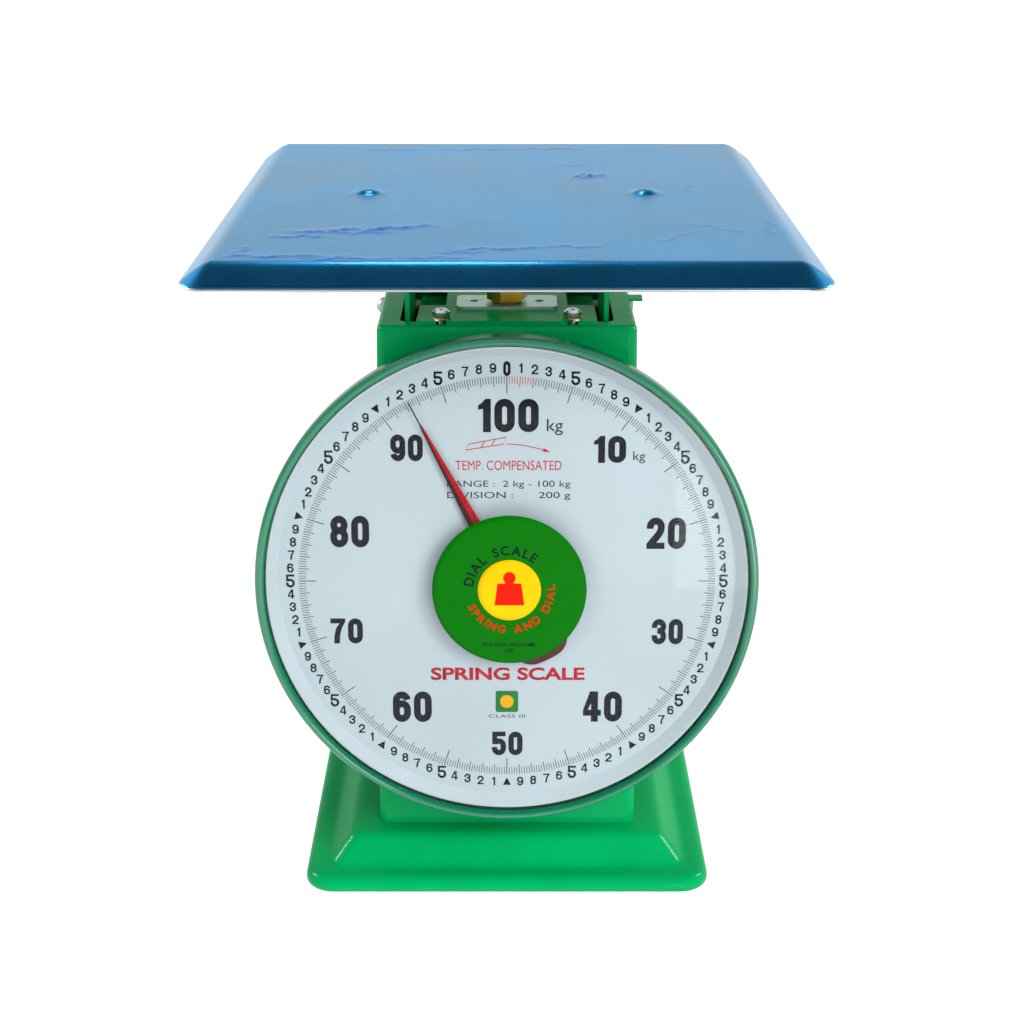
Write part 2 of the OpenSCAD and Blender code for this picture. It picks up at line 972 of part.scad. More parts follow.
module movement_pillars() {
    color([0.72, 0.6, 0.3])
    dial_frame()
        at_pillars() {
            difference() {
                rod_y(4, plate_front_y + plate_t, plate_back_y - plate_front_y - plate_t);
                rod_y(1.6, plate_front_y, plate_back_y);
            }
            difference() {
                rod_y(4, drum_depth + sheet_t, plate_front_y - drum_depth - sheet_t);
                rod_y(1.6, drum_depth, 10);
            }
        }
}

module movement_screws() {
    color([0.75, 0.75, 0.77])
    dial_frame()
        at_pillars() {
            rod_y(1.5, drum_depth, plate_back_y + plate_t - drum_depth);
            rod_y(2.8, plate_back_y + plate_t, 2);
        }
}

module rack_guide() {
    color([0.9, 0.9, 0.86])
    dial_frame()
        translate([rack_back_x + run_gap, plate_front_y + plate_t, -8])
            cube([6, plate_back_y - plate_front_y - plate_t, 16]);
}

flank_steps = 5;
function involute_x(base, t) = base * (cos(t) + t * PI / 180 * sin(t));
function involute_y(base, t) = base * (sin(t) - t * PI / 180 * cos(t));

// one pinion tooth, centred on the +X direction
module pinion_tooth() {
    base = pitch_r * cos(20);
    tip = pitch_r + 0.9 * gear_m;
    root = pitch_r - 1.25 * gear_m - 0.1;
    pitch_t = sqrt(pitch_r * pitch_r - base * base) / base * 180 / PI;
    tip_t = sqrt(tip * tip - base * base) / base * 180 / PI;
    pitch_turn = atan2(involute_y(base, pitch_t), involute_x(base, pitch_t));
    half_tooth = (gear_pitch / 2 - tooth_thin) / 2 / pitch_r * 180 / PI;
    turn = half_tooth + pitch_turn;
    flank = [for (i = [0 : flank_steps])
        let (t = tip_t * i / flank_steps, x = involute_x(base, t), y = involute_y(base, t))
        [x * cos(turn) + y * sin(turn), x * sin(turn) - y * cos(turn)]];
    root_pt = [root * cos(turn), root * sin(turn)];
    upper = concat([root_pt], flank);
    lower = [for (i = [len(upper) - 1 : -1 : 0]) [upper[i][0], -upper[i][1]]];
    polygon(concat(upper, lower));
}

module pinion() {
    color([0.72, 0.55, 0.2])
    dial_frame()
        translate([0, pinion_y, 0])
            rotate([-90, 0, 0])
                difference() {
                    union() {
                        linear_extrude(pinion_len) {
                            circle(r = pitch_r - 1.25 * gear_m, $fn = 48);
                            for (i = [0 : pinion_n - 1])
                                rotate(i * 360 / pinion_n + 180 / pinion_n)
                                    pinion_tooth();
                        }
                        translate([0, 0, -3])
                            rod(3, 3);
                    }
                    translate([0, 0, -5])
                        rod(shaft_r, pinion_len + 10);
                }
}

rack_tooth_low = -4;
rack_tooth_high = 22;
module rack() {
    tip = 0.9 * gear_m;
    root = 0.625;
    half = (gear_pitch / 2 - tooth_thin) / 2;
    color([0.7, 0.72, 0.74])
    dial_frame() {
        translate([0, rack_y + rack_t, 0])
            rotate([90, 0, 0])
                linear_extrude(rack_t) {
                    translate([pitch_r + root, rack_foot + 8])
                        square([rack_w, 44 - rack_foot - 8]);
                    for (i = [rack_tooth_low : rack_tooth_high])
                        polygon([
                            [pitch_r + root + eps, i * gear_pitch - half - root * tan(20)],
                            [pitch_r - tip, i * gear_pitch - half + tip * tan(20)],
                            [pitch_r - tip, i * gear_pitch + half - tip * tan(20)],
                            [pitch_r + root + eps, i * gear_pitch + half + root * tan(20)]]);
                }
    }
    color([0.7, 0.72, 0.74])
    difference() {
        union() {
            translate([rack_pin_x, rack_pin_y, rack_pin_z])
                rod_y(5, -1.5, 3);
            dial_frame()
                translate([rack_pin_x - 2, rack_mid_y - 1.2, rack_foot + 3])
                    cube([4, 2.4, 6]);
        }
        translate([rack_pin_x, rack_pin_y, rack_pin_z])
            rod_y(rack_pin_r + 0.06, -10, 20);
    }
}

shaft_front = 8;
shaft_back = 80;
module pinion_shaft() {
    color([0.72, 0.72, 0.76])
    dial_frame()
        rod_y(shaft_r, shaft_front, shaft_back - shaft_front);
}

// ---------- dial ----------

drum_r = bezel_r - 5;
drum_back_r = bezel_r - 14;
drum_t = 1.2;
drum_lip_r = bezel_r - 1.6;
drum_lip_y = 7;
drum_step_y = 17;
drum_turn_y = 22;
module dial_drum() {
    color([0.04, 0.55, 0.29])
    dial_frame()
        difference() {
            dial_turned()
                polygon([
                    [spindle_hole_r, drum_depth], [drum_back_r - 4, drum_depth],
                    [drum_back_r, drum_depth - 3], [drum_r - 1, drum_turn_y], [drum_r, drum_step_y],
                    [drum_r, drum_lip_y + drum_t], [drum_lip_r, drum_lip_y + drum_t],
                    [drum_lip_r, drum_lip_y], [drum_r - drum_t, drum_lip_y],
                    [drum_r - drum_t, drum_step_y], [drum_r - drum_t - 1, drum_turn_y],
                    [drum_back_r - drum_t, drum_depth - 3.6], [drum_back_r - 4.5, drum_depth - drum_t],
                    [spindle_hole_r, drum_depth - drum_t]]);
            at_drum_screws()
                rod_y(2.2, drum_depth - 5, 10);
            at_dial_posts()
                rod_y(1.6, drum_depth - 5, 10);
            at_pillars()
                rod_y(1.7, drum_depth - 5, 10);
        }
}

drum_screw_x = 66;
drum_screw_z = 70;
module at_drum_screws() {
    for (sx = [-1, 1], sz = [-1, 1])
        translate([sx * drum_screw_x, 0, sz * drum_screw_z])
            children();
}

module drum_screws() {
    head_t = 2.4;
    color([0.75, 0.75, 0.77])
    dial_frame()
        at_drum_screws() {
            rod_y(2, drum_depth - drum_t, 12);
            rod_y(4.2, drum_depth - drum_t - head_t, head_t);
            rod_y(4.5, drum_depth + sheet_t, 3);
        }
}

dial_post_at = 92;
module at_dial_posts() {
    for (sx = [-1, 1], sz = [-1, 1])
        translate([sx * dial_post_at, 0, sz * dial_post_at])
            children();
}

dial_face = 14;
dial_t = 1;
module dial_posts() {
    color([0.75, 0.75, 0.77])
    dial_frame()
        at_dial_posts() {
            rod_y(4, dial_face + dial_t, drum_depth - drum_t - dial_face - dial_t);
            rod_y(1.5, drum_depth - drum_t, 5);
        }
}

module dial_plate() {
    color([0.93, 0.96, 0.97])
    dial_frame()
        dial_turned()
            translate([5, dial_face])
                square([dial_r - 5, dial_t]);
}

surround_r = bezel_r - 6.6;
module dial_surround() {
    color([0.88, 0.92, 0.93])
    dial_frame()
        dial_turned()
            polygon([
                [dial_r - 1, dial_face], [dial_r + 0.3, dial_face], [surround_r, 7.2],
                [surround_r, 5.8], [surround_r - 1.2, 5.8]]);
}

gasket_y = 5.6;
module lens_gasket() {
    color([0.08, 0.08, 0.08])
    dial_frame()
        dial_turned()
            translate([bezel_r - 5.8, gasket_y])
                square([4, drum_lip_y - gasket_y]);
}

lens_r = bezel_r - 2;
lens_t = 2;
lens_rise = 2.4;
lens_edge_y = gasket_y - lens_t;
lens_steps = 12;
function lens_front(r) = lens_edge_y - lens_rise * (1 - pow(r / lens_r, 2));

module lens() {
    front = [for (i = [0 : lens_steps]) let (r = lens_r * i / lens_steps) [r, lens_front(r)]];
    back = [for (i = [lens_steps : -1 : 0]) let (r = lens_r * i / lens_steps)
        [r, lens_front(r) + lens_t]];
    color([0.85, 0.92, 0.95, 0.3])
    dial_frame()
        dial_turned()
            polygon(concat(front, back));
}

sticker_r = 49;
sticker_t = 0.25;
sticker_gap = 0.03;
module lens_sticker() {
    steps = 4;
    front = [for (i = [0 : steps]) let (r = sticker_r * i / steps)
        [r, lens_front(r) - sticker_gap - sticker_t]];
    back = [for (i = [steps : -1 : 0]) let (r = sticker_r * i / steps)
        [r, lens_front(r) - sticker_gap]];
    color([0.02, 0.55, 0.1])
    dial_frame()
        translate([1.6, 0, -2])
            dial_turned()
                polygon(concat(front, back));
}

bezel_depth = 17;
bezel_in_r = bezel_r - 5.7;
bezel_lip = (bezel_r - bezel_in_r) / 2;
// rolled ring with a rounded front lip and a skirt round the drum
module bezel_ring() {
    mid_r = bezel_in_r + bezel_lip;
    outer_lip = [for (a = [0 : 20 : 180]) [mid_r - bezel_lip * cos(a), 3.2 - 3.2 * sin(a)]];
    color([0.05, 0.6, 0.33])
    dial_frame()
        dial_turned()
            polygon(concat(outer_lip, [
                [bezel_r, bezel_depth], [bezel_r - 1.2, bezel_depth], [bezel_r - 1.2, 3.4],
                [bezel_r - 2.1, 1.8], [bezel_in_r + 2.1, 1.8], [bezel_in_r + 1.2, lens_edge_y - 0.2],
                [bezel_in_r, lens_edge_y - 0.2]]));
}

// ---------- pointer ----------

pointer_y = 9.6;
pointer_len = 132.4;
module pointer_frame() {
    dial_frame()
        rotate([0, -rest_angle, 0])
            children();
}

hub_r = 7;
module pointer_hub() {
    color([0.72, 0.55, 0.2])
    dial_frame()
        difference() {
            rod_y(hub_r, pointer_y + 0.8, 2.8);
            rod_y(shaft_r, 0, 30);
        }
}

module pointer() {
    color([0.75, 0.08, 0.1])
    pointer_frame()
        difference() {
            translate([0, pointer_y + 0.8, 0])
                rotate([90, 0, 0])
                    linear_extrude(0.8)
                        polygon([
                            [-8, -34], [-9, -6], [-9, 6], [-4.6, 47], [-1.1, 116.6], [-0.4, 117],
                            [-0.4, pointer_len], [0.4, pointer_len], [0.4, 117], [1.1, 116.6],
                            [4.6, 47], [9, 6], [9, -6], [8, -34]]);
            rod_y(shaft_r, 0, 30);
        }
}

weight_out_r = 58.5;
weight_in_r = 33;
module pointer_counterweight() {
    spread = 7;
    end_r = (weight_out_r - weight_in_r) / 2;
    color([0.55, 0.05, 0.08])
    pointer_frame()
        translate([0, pointer_y + 0.8, 0])
            rotate([-90, 0, 0]) {
                rotate([0, 0, 90 - spread])
                    rotate_extrude(angle = 2 * spread, $fn = 96)
                        translate([weight_in_r, 0])
                            square([weight_out_r - weight_in_r, 2]);
                for (side = [-1, 1])
                    rotate([0, 0, 90 + side * spread])
                        translate([weight_in_r + end_r, 0, 0])
                            rod(end_r, 2);
            }
}

// ---------- selection ----------

base_pan();
base_feet();
feet_screws();
case_shell();
case_bolts();
rear_cover();
rear_cover_screws();
rating_plate();
spring_bridge();
bridge_bolts();
bridge_washers();
zero_lock_plate();
zero_nut();
zero_screw();
spring_hanger();
spring_left();
spring_right();
platform_tray();
platform_film();
platform_bolts();
platform_nuts();
spider_plate();
spider_screws();
load_side_left();
load_side_right();
spring_crossbar();
crossbar_screws();
rack_arm();
bimetal_strip();
rack_pin();
upper_axle();
lower_axle();
axle_clips();
upper_guide_arm();
upper_guide_pins();
lower_guide_arm();
lower_guide_pins();
movement_front_plate();
movement_rear_plate();
movement_pillars();
movement_screws();
rack_guide();
rack();
pinion_shaft();
pinion();
dial_drum();
drum_screws();
dial_posts();
dial_plate();
dial_surround();
lens_gasket();
lens();
bezel_ring();
pointer_hub();
pointer();
pointer_counterweight();
lens_sticker();
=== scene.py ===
"""Mechanical dial platform scale: materials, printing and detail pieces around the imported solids."""

import json
import math

import bmesh
import bpy
from mathutils import Matrix, Vector


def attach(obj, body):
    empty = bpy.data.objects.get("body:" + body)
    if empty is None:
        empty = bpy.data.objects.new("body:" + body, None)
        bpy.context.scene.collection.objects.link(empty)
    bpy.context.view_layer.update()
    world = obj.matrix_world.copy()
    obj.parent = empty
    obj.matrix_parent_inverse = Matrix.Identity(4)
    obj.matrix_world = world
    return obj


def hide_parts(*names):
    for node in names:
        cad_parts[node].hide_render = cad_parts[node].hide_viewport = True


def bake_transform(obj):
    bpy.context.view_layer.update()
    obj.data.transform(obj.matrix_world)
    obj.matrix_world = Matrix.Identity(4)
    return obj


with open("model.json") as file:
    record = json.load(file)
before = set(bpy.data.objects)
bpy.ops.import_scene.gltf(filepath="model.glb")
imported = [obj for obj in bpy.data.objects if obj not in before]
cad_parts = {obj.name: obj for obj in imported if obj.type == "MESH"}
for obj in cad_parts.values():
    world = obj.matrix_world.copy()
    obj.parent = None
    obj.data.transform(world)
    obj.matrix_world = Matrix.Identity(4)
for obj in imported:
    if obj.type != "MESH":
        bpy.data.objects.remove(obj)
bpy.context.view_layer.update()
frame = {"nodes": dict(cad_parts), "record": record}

MM = 0.001

# platform, millimetres
PLATFORM_W = 364
PLATFORM_D = 384
PLATFORM_TOP = 440
PLATFORM_DROP = 12
PLATFORM_SLOPE = 16
PLATFORM_T = 1.5
PLATFORM_CORNER_R = 18
BEND_START = 3
BEND_SOFTNESS = 2.4
FILM_T = 0.3
FILM_SHEET_T = 0.1
FILM_GAP = 0.12
FILM_EDGE = 0.9
BOLT_X = 90
DOME_R = 12
DOME_HALF = 8

# base, millimetres
BASE_W = 271
BASE_D = 270
BASE_Y = -11
BASE_SHEET_T = 1.9

# dial, millimetres, in the dial's own frame
LEAN = 8
DIAL_Y = -120.814
DIAL_Z = 214
DIAL_FACE = 14
LENS_R = 158
LENS_EDGE = 3.6
LENS_RISE = 2.4
LIP_POLISHED = 1.4
LIP_DULL = 3.0
REST_ANGLE = 27.7
PRINT_UP = 0.05

DIAL = Matrix.Translation((0, DIAL_Y * MM, DIAL_Z * MM)) @ Matrix.Rotation(math.radians(-LEAN), 4, "X")
DIAL_AXIS = DIAL.to_3x3() @ Vector((0, 1, 0))


# ---------- materials ----------

def surface(name, colour, rough, metallic=0.0, spread=0.05, scale=30.0, rough_spread=0.06,
            bump=0.1, bump_scale=900.0, coat=0.0, coat_rough=0.05, specular=0.5, stretch=(1, 1, 1)):
    """Principled material with mottled colour, uneven gloss and a fine bump."""
    mat = bpy.data.materials.new(name)
    mat.use_nodes = True
    nodes = mat.node_tree.nodes
    links = mat.node_tree.links
    shader = nodes["Principled BSDF"]
    shader.inputs["Metallic"].default_value = metallic
    shader.inputs["Specular IOR Level"].default_value = specular
    shader.inputs["Coat Weight"].default_value = coat
    shader.inputs["Coat Roughness"].default_value = coat_rough
    place = nodes.new("ShaderNodeTexCoord")
    mapping = nodes.new("ShaderNodeMapping")
    mapping.inputs["Scale"].default_value = stretch
    links.new(place.outputs["Object"], mapping.inputs["Vector"])
    mottle = nodes.new("ShaderNodeTexNoise")
    mottle.inputs["Scale"].default_value = scale
    mottle.inputs["Detail"].default_value = 5.0
    links.new(mapping.outputs["Vector"], mottle.inputs["Vector"])
    ramp = nodes.new("ShaderNodeValToRGB")
    ramp.color_ramp.elements[0].position = 0.3
    ramp.color_ramp.elements[1].position = 0.7
    ramp.color_ramp.elements[0].color = [c * (1 - spread) for c in colour] + [1]
    ramp.color_ramp.elements[1].color = [min(1, c * (1 + spread)) for c in colour] + [1]
    links.new(mottle.outputs["Fac"], ramp.inputs["Fac"])
    links.new(ramp.outputs["Color"], shader.inputs["Base Color"])
    gloss = nodes.new("ShaderNodeMapRange")
    gloss.inputs["To Min"].default_value = max(0.02, rough - rough_spread)
    gloss.inputs["To Max"].default_value = min(1.0, rough + rough_spread)
    links.new(mottle.outputs["Fac"], gloss.inputs["Value"])
    links.new(gloss.outputs["Result"], shader.inputs["Roughness"])
    grain = nodes.new("ShaderNodeTexNoise")
    grain.inputs["Scale"].default_value = bump_scale
    grain.inputs["Detail"].default_value = 3.0
    links.new(mapping.outputs["Vector"], grain.inputs["Vector"])
    relief = nodes.new("ShaderNodeBump")
    relief.inputs["Strength"].default_value = bump
    relief.inputs["Distance"].default_value = 0.0002
    links.new(grain.outputs["Fac"], relief.inputs["Height"])
    links.new(relief.outputs["Normal"], shader.inputs["Normal"])
    return mat


def film_material():
    """Blue protective film over steel, brighter where it has lifted from the sheet."""
    mat = surface("blue_film", (0.012, 0.235, 0.53), 0.28, metallic=0.96, spread=0.2, scale=11.0,
                  rough_spread=0.08, bump=0.25, bump_scale=260.0, coat=0.2, coat_rough=0.06)
    nodes = mat.node_tree.nodes
    links = mat.node_tree.links
    shader = nodes["Principled BSDF"]
    shader.inputs["Specular Tint"].default_value = (0.72, 0.88, 0.9, 1)
    base = shader.inputs["Base Color"].links[0].from_socket
    lifted = nodes.new("ShaderNodeAttribute")
    lifted.attribute_name = "lift"
    mix = nodes.new("ShaderNodeMix")
    mix.data_type = "RGBA"
    mix.inputs["B"].default_value = (0.0, 0.07, 0.6, 1)
    links.new(lifted.outputs["Fac"], mix.inputs["Factor"])
    links.new(base, mix.inputs["A"])
    links.new(mix.outputs["Result"], shader.inputs["Base Color"])
    return mat


def bezel_material():
    """Dark green enamel, polished on the rounded front lip and dull on the side wall behind it."""
    mat = surface("bezel_enamel", (0.0, 0.15, 0.07), 0.2, spread=0.06, scale=22.0, bump=0.04,
                  bump_scale=420.0, coat_rough=0.12, specular=0.02)
    nodes = mat.node_tree.nodes
    links = mat.node_tree.links
    shader = nodes["Principled BSDF"]
    shader.inputs["Coat IOR"].default_value = 1.8
    place = nodes.new("ShaderNodeTexCoord")
    depth = nodes.new("ShaderNodeVectorMath")
    depth.operation = "DOT_PRODUCT"
    depth.inputs[1].default_value = DIAL_AXIS
    links.new(place.outputs["Object"], depth.inputs[0])
    polish = nodes.new("ShaderNodeMapRange")
    front = DIAL_AXIS.dot(DIAL.translation)
    polish.inputs["From Min"].default_value = front + LIP_POLISHED * MM
    polish.inputs["From Max"].default_value = front + LIP_DULL * MM
    polish.inputs["To Min"].default_value = 0.8
    polish.inputs["To Max"].default_value = 0.0
    links.new(depth.outputs["Value"], polish.inputs["Value"])
    links.new(polish.outputs["Result"], shader.inputs["Coat Weight"])
    return mat


def glass_material():
    """Clear pane: sharp reflection over a see-through body."""
    mat = bpy.data.materials.new("lens_glass")
    mat.use_nodes = True
    nodes = mat.node_tree.nodes
    links = mat.node_tree.links
    nodes.remove(nodes["Principled BSDF"])
    out = nodes["Material Output"]
    clear = nodes.new("ShaderNodeBsdfTransparent")
    shine = nodes.new("ShaderNodeBsdfGlossy")
    place = nodes.new("ShaderNodeTexCoord")
    haze = nodes.new("ShaderNodeTexNoise")
    haze.inputs["Scale"].default_value = 9.0
    links.new(place.outputs["Object"], haze.inputs["Vector"])
    smear = nodes.new("ShaderNodeMapRange")
    smear.inputs["To Min"].default_value = 0.02
    smear.inputs["To Max"].default_value = 0.07
    links.new(haze.outputs["Fac"], smear.inputs["Value"])
    links.new(smear.outputs["Result"], shine.inputs["Roughness"])
    tint = nodes.new("ShaderNodeMapRange")
    tint.inputs["To Min"].default_value = 0.95
    tint.inputs["To Max"].default_value = 1.0
    links.new(haze.outputs["Fac"], tint.inputs["Value"])
    links.new(tint.outputs["Result"], clear.inputs["Color"])
    fresnel = nodes.new("ShaderNodeFresnel")
    fresnel.inputs["IOR"].default_value = 1.24
    mix = nodes.new("ShaderNodeMixShader")
    links.new(fresnel.outputs["Fac"], mix.inputs["Fac"])
    links.new(clear.outputs["BSDF"], mix.inputs[1])
    links.new(shine.outputs["BSDF"], mix.inputs[2])
    links.new(mix.outputs["Shader"], out.inputs["Surface"])
    return mat


PAINT = surface("green_enamel", (0.0, 0.325, 0.092), 0.3, spread=0.07, scale=22.0, bump=0.12,
                bump_scale=420.0, coat=0.1, coat_rough=0.08, specular=0.02)
BEZEL_PAINT = bezel_material()
GASKET = surface("gasket_rubber", (0.015, 0.07, 0.045), 0.6, bump=0.3, specular=0.2)
STEEL = surface("stainless", (0.62, 0.64, 0.64), 0.3, metallic=1.0, bump=0.2, bump_scale=700.0,
                stretch=(0.04, 1, 1))
FILM = film_material()
ZINC = surface("zinc_plate", (0.66, 0.66, 0.68), 0.2, metallic=1.0, scale=180.0, spread=0.12)
DULL_ZINC = surface("dull_zinc", (0.42, 0.42, 0.45), 0.5, metallic=0.7, scale=160.0, spread=0.2, bump=0.5)
YELLOW_ZINC = surface("yellow_zinc", (0.78, 0.58, 0.24), 0.25, metallic=1.0, scale=180.0, spread=0.2)
GALVANISED = surface("galvanised", (0.45, 0.6, 0.52), 0.42, metallic=0.8, scale=120.0, spread=0.16)
SPRING = surface("spring_steel", (0.16, 0.165, 0.18), 0.38, metallic=0.9, scale=90.0, spread=0.2)
BRASS = surface("brass", (0.66, 0.36, 0.05), 0.3, metallic=1.0, scale=120.0, spread=0.18,
                bump=0.2, bump_scale=500.0)
RUBBER = surface("rubber", (0.012, 0.012, 0.012), 0.7, bump=0.3)
DIAL_WHITE = surface("dial_enamel", (0.5, 0.6, 0.645), 0.45, spread=0.012, scale=12.0, bump=0.03,
                     specular=0.3)
# Painted light: the surround ring is paler than the dial white to lift the shade that the bezel casts on
# it.
SURROUND_PAINTED_LIGHT = surface("dial_surround", (0.64, 0.74, 0.785), 0.5, spread=0.02, scale=20.0, bump=0.05,
                   specular=0.3)
GLASS = glass_material()
POINTER_RED = surface("pointer_red", (0.45, 0.0, 0.004), 0.3, spread=0.08, coat=0.3, specular=0.15)
# Darker copy of the pointer red: painted shade for the blade's left half, standing in for the side turned
# from the light.
POINTER_PAINTED_SHADE = surface("pointer_painted_shade", (0.05, 0.0, 0.002), 0.3, spread=0.08, coat=0.3, specular=0.15)
WEIGHT_RED = surface("weight_red", (0.085, 0.0, 0.003), 0.35, spread=0.1, coat=0.2, specular=0.15)
STICKER_GREEN = surface("sticker_green", (0.0, 0.125, 0.0), 0.34, spread=0.05, scale=60.0, bump=0.05,
                        specular=0.08)
STICKER_YELLOW = surface("sticker_yellow", (0.9, 0.43, 0.0), 0.34, spread=0.08, scale=30.0, bump=0.05,
                         specular=0.08)
STICKER_RED = surface("sticker_red", (0.6, 0.008, 0.0), 0.34, spread=0.05, scale=60.0, bump=0.05,
                      specular=0.08)
NYLON = surface("nylon", (0.75, 0.75, 0.68), 0.5)
LABEL = surface("label_metal", (0.6, 0.6, 0.62), 0.35, metallic=0.9, spread=0.05)
INK_DARK = surface("ink_dark", (0.006, 0.008, 0.014), 0.6, spread=0.1, scale=90.0, bump=0.02,
                   specular=0.1)
INK_GREY = surface("ink_grey", (0.05, 0.07, 0.09), 0.5, spread=0.1, scale=90.0, bump=0.05, specular=0.2)
INK_RED = surface("ink_red", (0.52, 0.006, 0.02), 0.5, spread=0.1, scale=90.0, bump=0.05, specular=0.2)
INK_GREEN = surface("ink_green", (0.0, 0.2, 0.02), 0.5, spread=0.1, scale=90.0, bump=0.05, specular=0.2)

SLOT_LOOKS = {
    "green_paint": PAINT,
    "stainless": STEEL,
    "film": FILM,
    "zinc": ZINC,
    "yellow_zinc": YELLOW_ZINC,
    "galvanised": GALVANISED,
    "spring_steel": SPRING,
    "brass": BRASS,
    "rubber": RUBBER,
    "dial_white": DIAL_WHITE,
    "surround": SURROUND_PAINTED_LIGHT,
    "glass": GLASS,
    "pointer_red": POINTER_RED,
    "weight_red": WEIGHT_RED,
    "sticker": STICKER_GREEN,
    "nylon": NYLON,
    "label_metal": LABEL,
}
NODE_LOOKS = {
    "bezel_ring": BEZEL_PAINT,
    "lens_gasket": GASKET,
    "upper_axle": DULL_ZINC,
    "lower_axle": DULL_ZINC,
}
for part in frame["record"]["subparts"]:
    mesh = frame["nodes"][part["node"]].data
    mesh.materials.clear()
    mesh.materials.append(NODE_LOOKS.get(part["node"], SLOT_LOOKS[part["material_slot"]]))


# ---------- mesh helpers ----------

def mesh_object(name, verts, faces, mat, smooth=True):
    """New object from points in metres and faces, with its normals made consistent."""
    mesh = bpy.data.meshes.new(name)
    mesh.from_pydata([tuple(v) for v in verts], [], faces)
    bm = bmesh.new()
    bm.from_mesh(mesh)
    bmesh.ops.recalc_face_normals(bm, faces=bm.faces)
    bm.to_mesh(mesh)
    bm.free()
    for poly in mesh.polygons:
        poly.use_smooth = smooth
    mesh.materials.append(mat)
    obj = bpy.data.objects.new(name, mesh)
    bpy.context.scene.collection.objects.link(obj)
    return obj


def rounded_loop(half_w, half_d, r, corner=10, side=12):
    """Closed loop of points round a rounded rectangle, the same count for any size."""
    points = []
    centres = [(1, 1, 0), (-1, 1, 90), (-1, -1, 180), (1, -1, 270)]
    for i, (sx, sy, start) in enumerate(centres):
        cx = sx * (half_w - r)
        cy = sy * (half_d - r)
        for k in range(corner + 1):
            a = math.radians(start + 90 * k / corner)
            points.append((cx + r * math.cos(a), cy + r * math.sin(a)))
        nx, ny, nstart = centres[(i + 1) % 4]
        a = math.radians(start + 90)
        x0, y0 = points[-1]
        b = math.radians(nstart)
        x1 = nx * (half_w - r) + r * math.cos(b)
        y1 = ny * (half_d - r) + r * math.sin(b)
        for k in range(1, side):
            t = k / side
            points.append((x0 + (x1 - x0) * t, y0 + (y1 - y0) * t))
    return points


def stacked_loops(name, loops, mat):
    """Skin through a stack of loops with equal point counts, the last one closed by a fan."""
    count = len(loops[0])
    verts = [p for loop in loops for p in loop]
    faces = []
    for j in range(len(loops) - 1):
        for i in range(count):
            n = (i + 1) % count
            faces.append((j * count + i, j * count + n, (j + 1) * count + n, (j + 1) * count + i))
    top = len(loops) - 1
    centre = [sum(p[k] for p in loops[-1]) / count for k in range(3)]
    verts.append(centre)
    for i in range(count):
        faces.append((top * count + i, top * count + (i + 1) % count, len(verts) - 1))
    return mesh_object(name, verts, faces, mat)


def thicken(obj, thickness):
    """Gives a skin its sheet thickness, inward from the modelled side."""
    mod = obj.modifiers.new("sheet", "SOLIDIFY")
    mod.thickness = thickness
    mod.offset = -1.0
    mod.use_even_offset = True
    bpy.context.view_layer.objects.active = obj
    bpy.context.view_layer.update()
    bake(obj)
    return obj


def bake(obj):
    """Applies an object's modifiers to its mesh."""
    graph = bpy.context.evaluated_depsgraph_get()
    done = bpy.data.meshes.new_from_object(obj.evaluated_get(graph))
    obj.modifiers.clear()
    obj.data = done


def join(name, objects):
    """Joins meshes that share a material into one object."""
    bm = bmesh.new()
    for obj in objects:
        mesh = obj.data.copy()
        mesh.transform(obj.matrix_world)
        bm.from_mesh(mesh)
        bpy.data.meshes.remove(mesh)
    mesh = bpy.data.meshes.new(name)
    bm.to_mesh(mesh)
    bm.free()
    mesh.materials.append(objects[0].data.materials[0])
    for obj in objects:
        bpy.data.objects.remove(obj)
    joined = bpy.data.objects.new(name, mesh)
    bpy.context.scene.collection.objects.link(joined)
    return joined


# ---------- platform ----------

def tray_height(x, y):
    """Height of the tray's upper face, millimetres, with a soft bend at the top of the slope."""
    half_w = PLATFORM_W / 2 - PLATFORM_SLOPE - BEND_START
    half_d = PLATFORM_D / 2 - PLATFORM_SLOPE - BEND_START
    dx = max(abs(x) - half_w, 0)
    dy = max(abs(y) - half_d, 0)
    d = math.hypot(dx, dy) if dx and dy else max(dx, dy)
    slope = PLATFORM_DROP / PLATFORM_SLOPE
    fall = BEND_SOFTNESS * math.log(1 + math.exp((d - BEND_START) / BEND_SOFTNESS))
    level = BEND_SOFTNESS * math.log(1 + math.exp(-BEND_START / BEND_SOFTNESS))
    return PLATFORM_TOP - FILM_T - slope * (fall - level)


def square_to_round(x, y, half_w, half_d, r):
    """Moves a point of a square-cornered sheet so that the sheet's corners become round."""
    ax = abs(x) - (half_w - r)
    ay = abs(y) - (half_d - r)
    if ax <= 0 or ay <= 0:
        return x, y
    u = ax / r
    v = ay / r
    nu = u * math.sqrt(1 - v * v / 2)
    nv = v * math.sqrt(1 - u * u / 2)
    return math.copysign(half_w - r + nu * r, x), math.copysign(half_d - r + nv * r, y)


def tray_sheet(name, inset, lift, mat, fine, bump=None):
    """Pressed sheet that follows the tray, inset from its edge and lifted off it."""
    half_w = PLATFORM_W / 2 - inset
    half_d = PLATFORM_D / 2 - inset
    r = PLATFORM_CORNER_R - inset
    xs = spaced(half_w, fine)
    ys = spaced(half_d, fine)
    verts = []
    lifts = []
    for y in ys:
        for x in xs:
            px, py = square_to_round(x, y, half_w, half_d, r)
            raised, mark = bump(px, py) if bump else (0.0, 0.0)
            verts.append((px * MM, py * MM, (tray_height(px, py) + lift + raised) * MM))
            lifts.append(mark)
    nx = len(xs)
    faces = []
    for j in range(len(ys) - 1):
        for i in range(nx - 1):
            a = j * nx + i
            faces.append((a, a + 1, a + nx + 1, a + nx))
    obj = mesh_object(name, verts, faces, mat)
    if bump:
        layer = obj.data.attributes.new("lift", "FLOAT", "POINT")
        layer.data.foreach_set("value", lifts)
    return obj


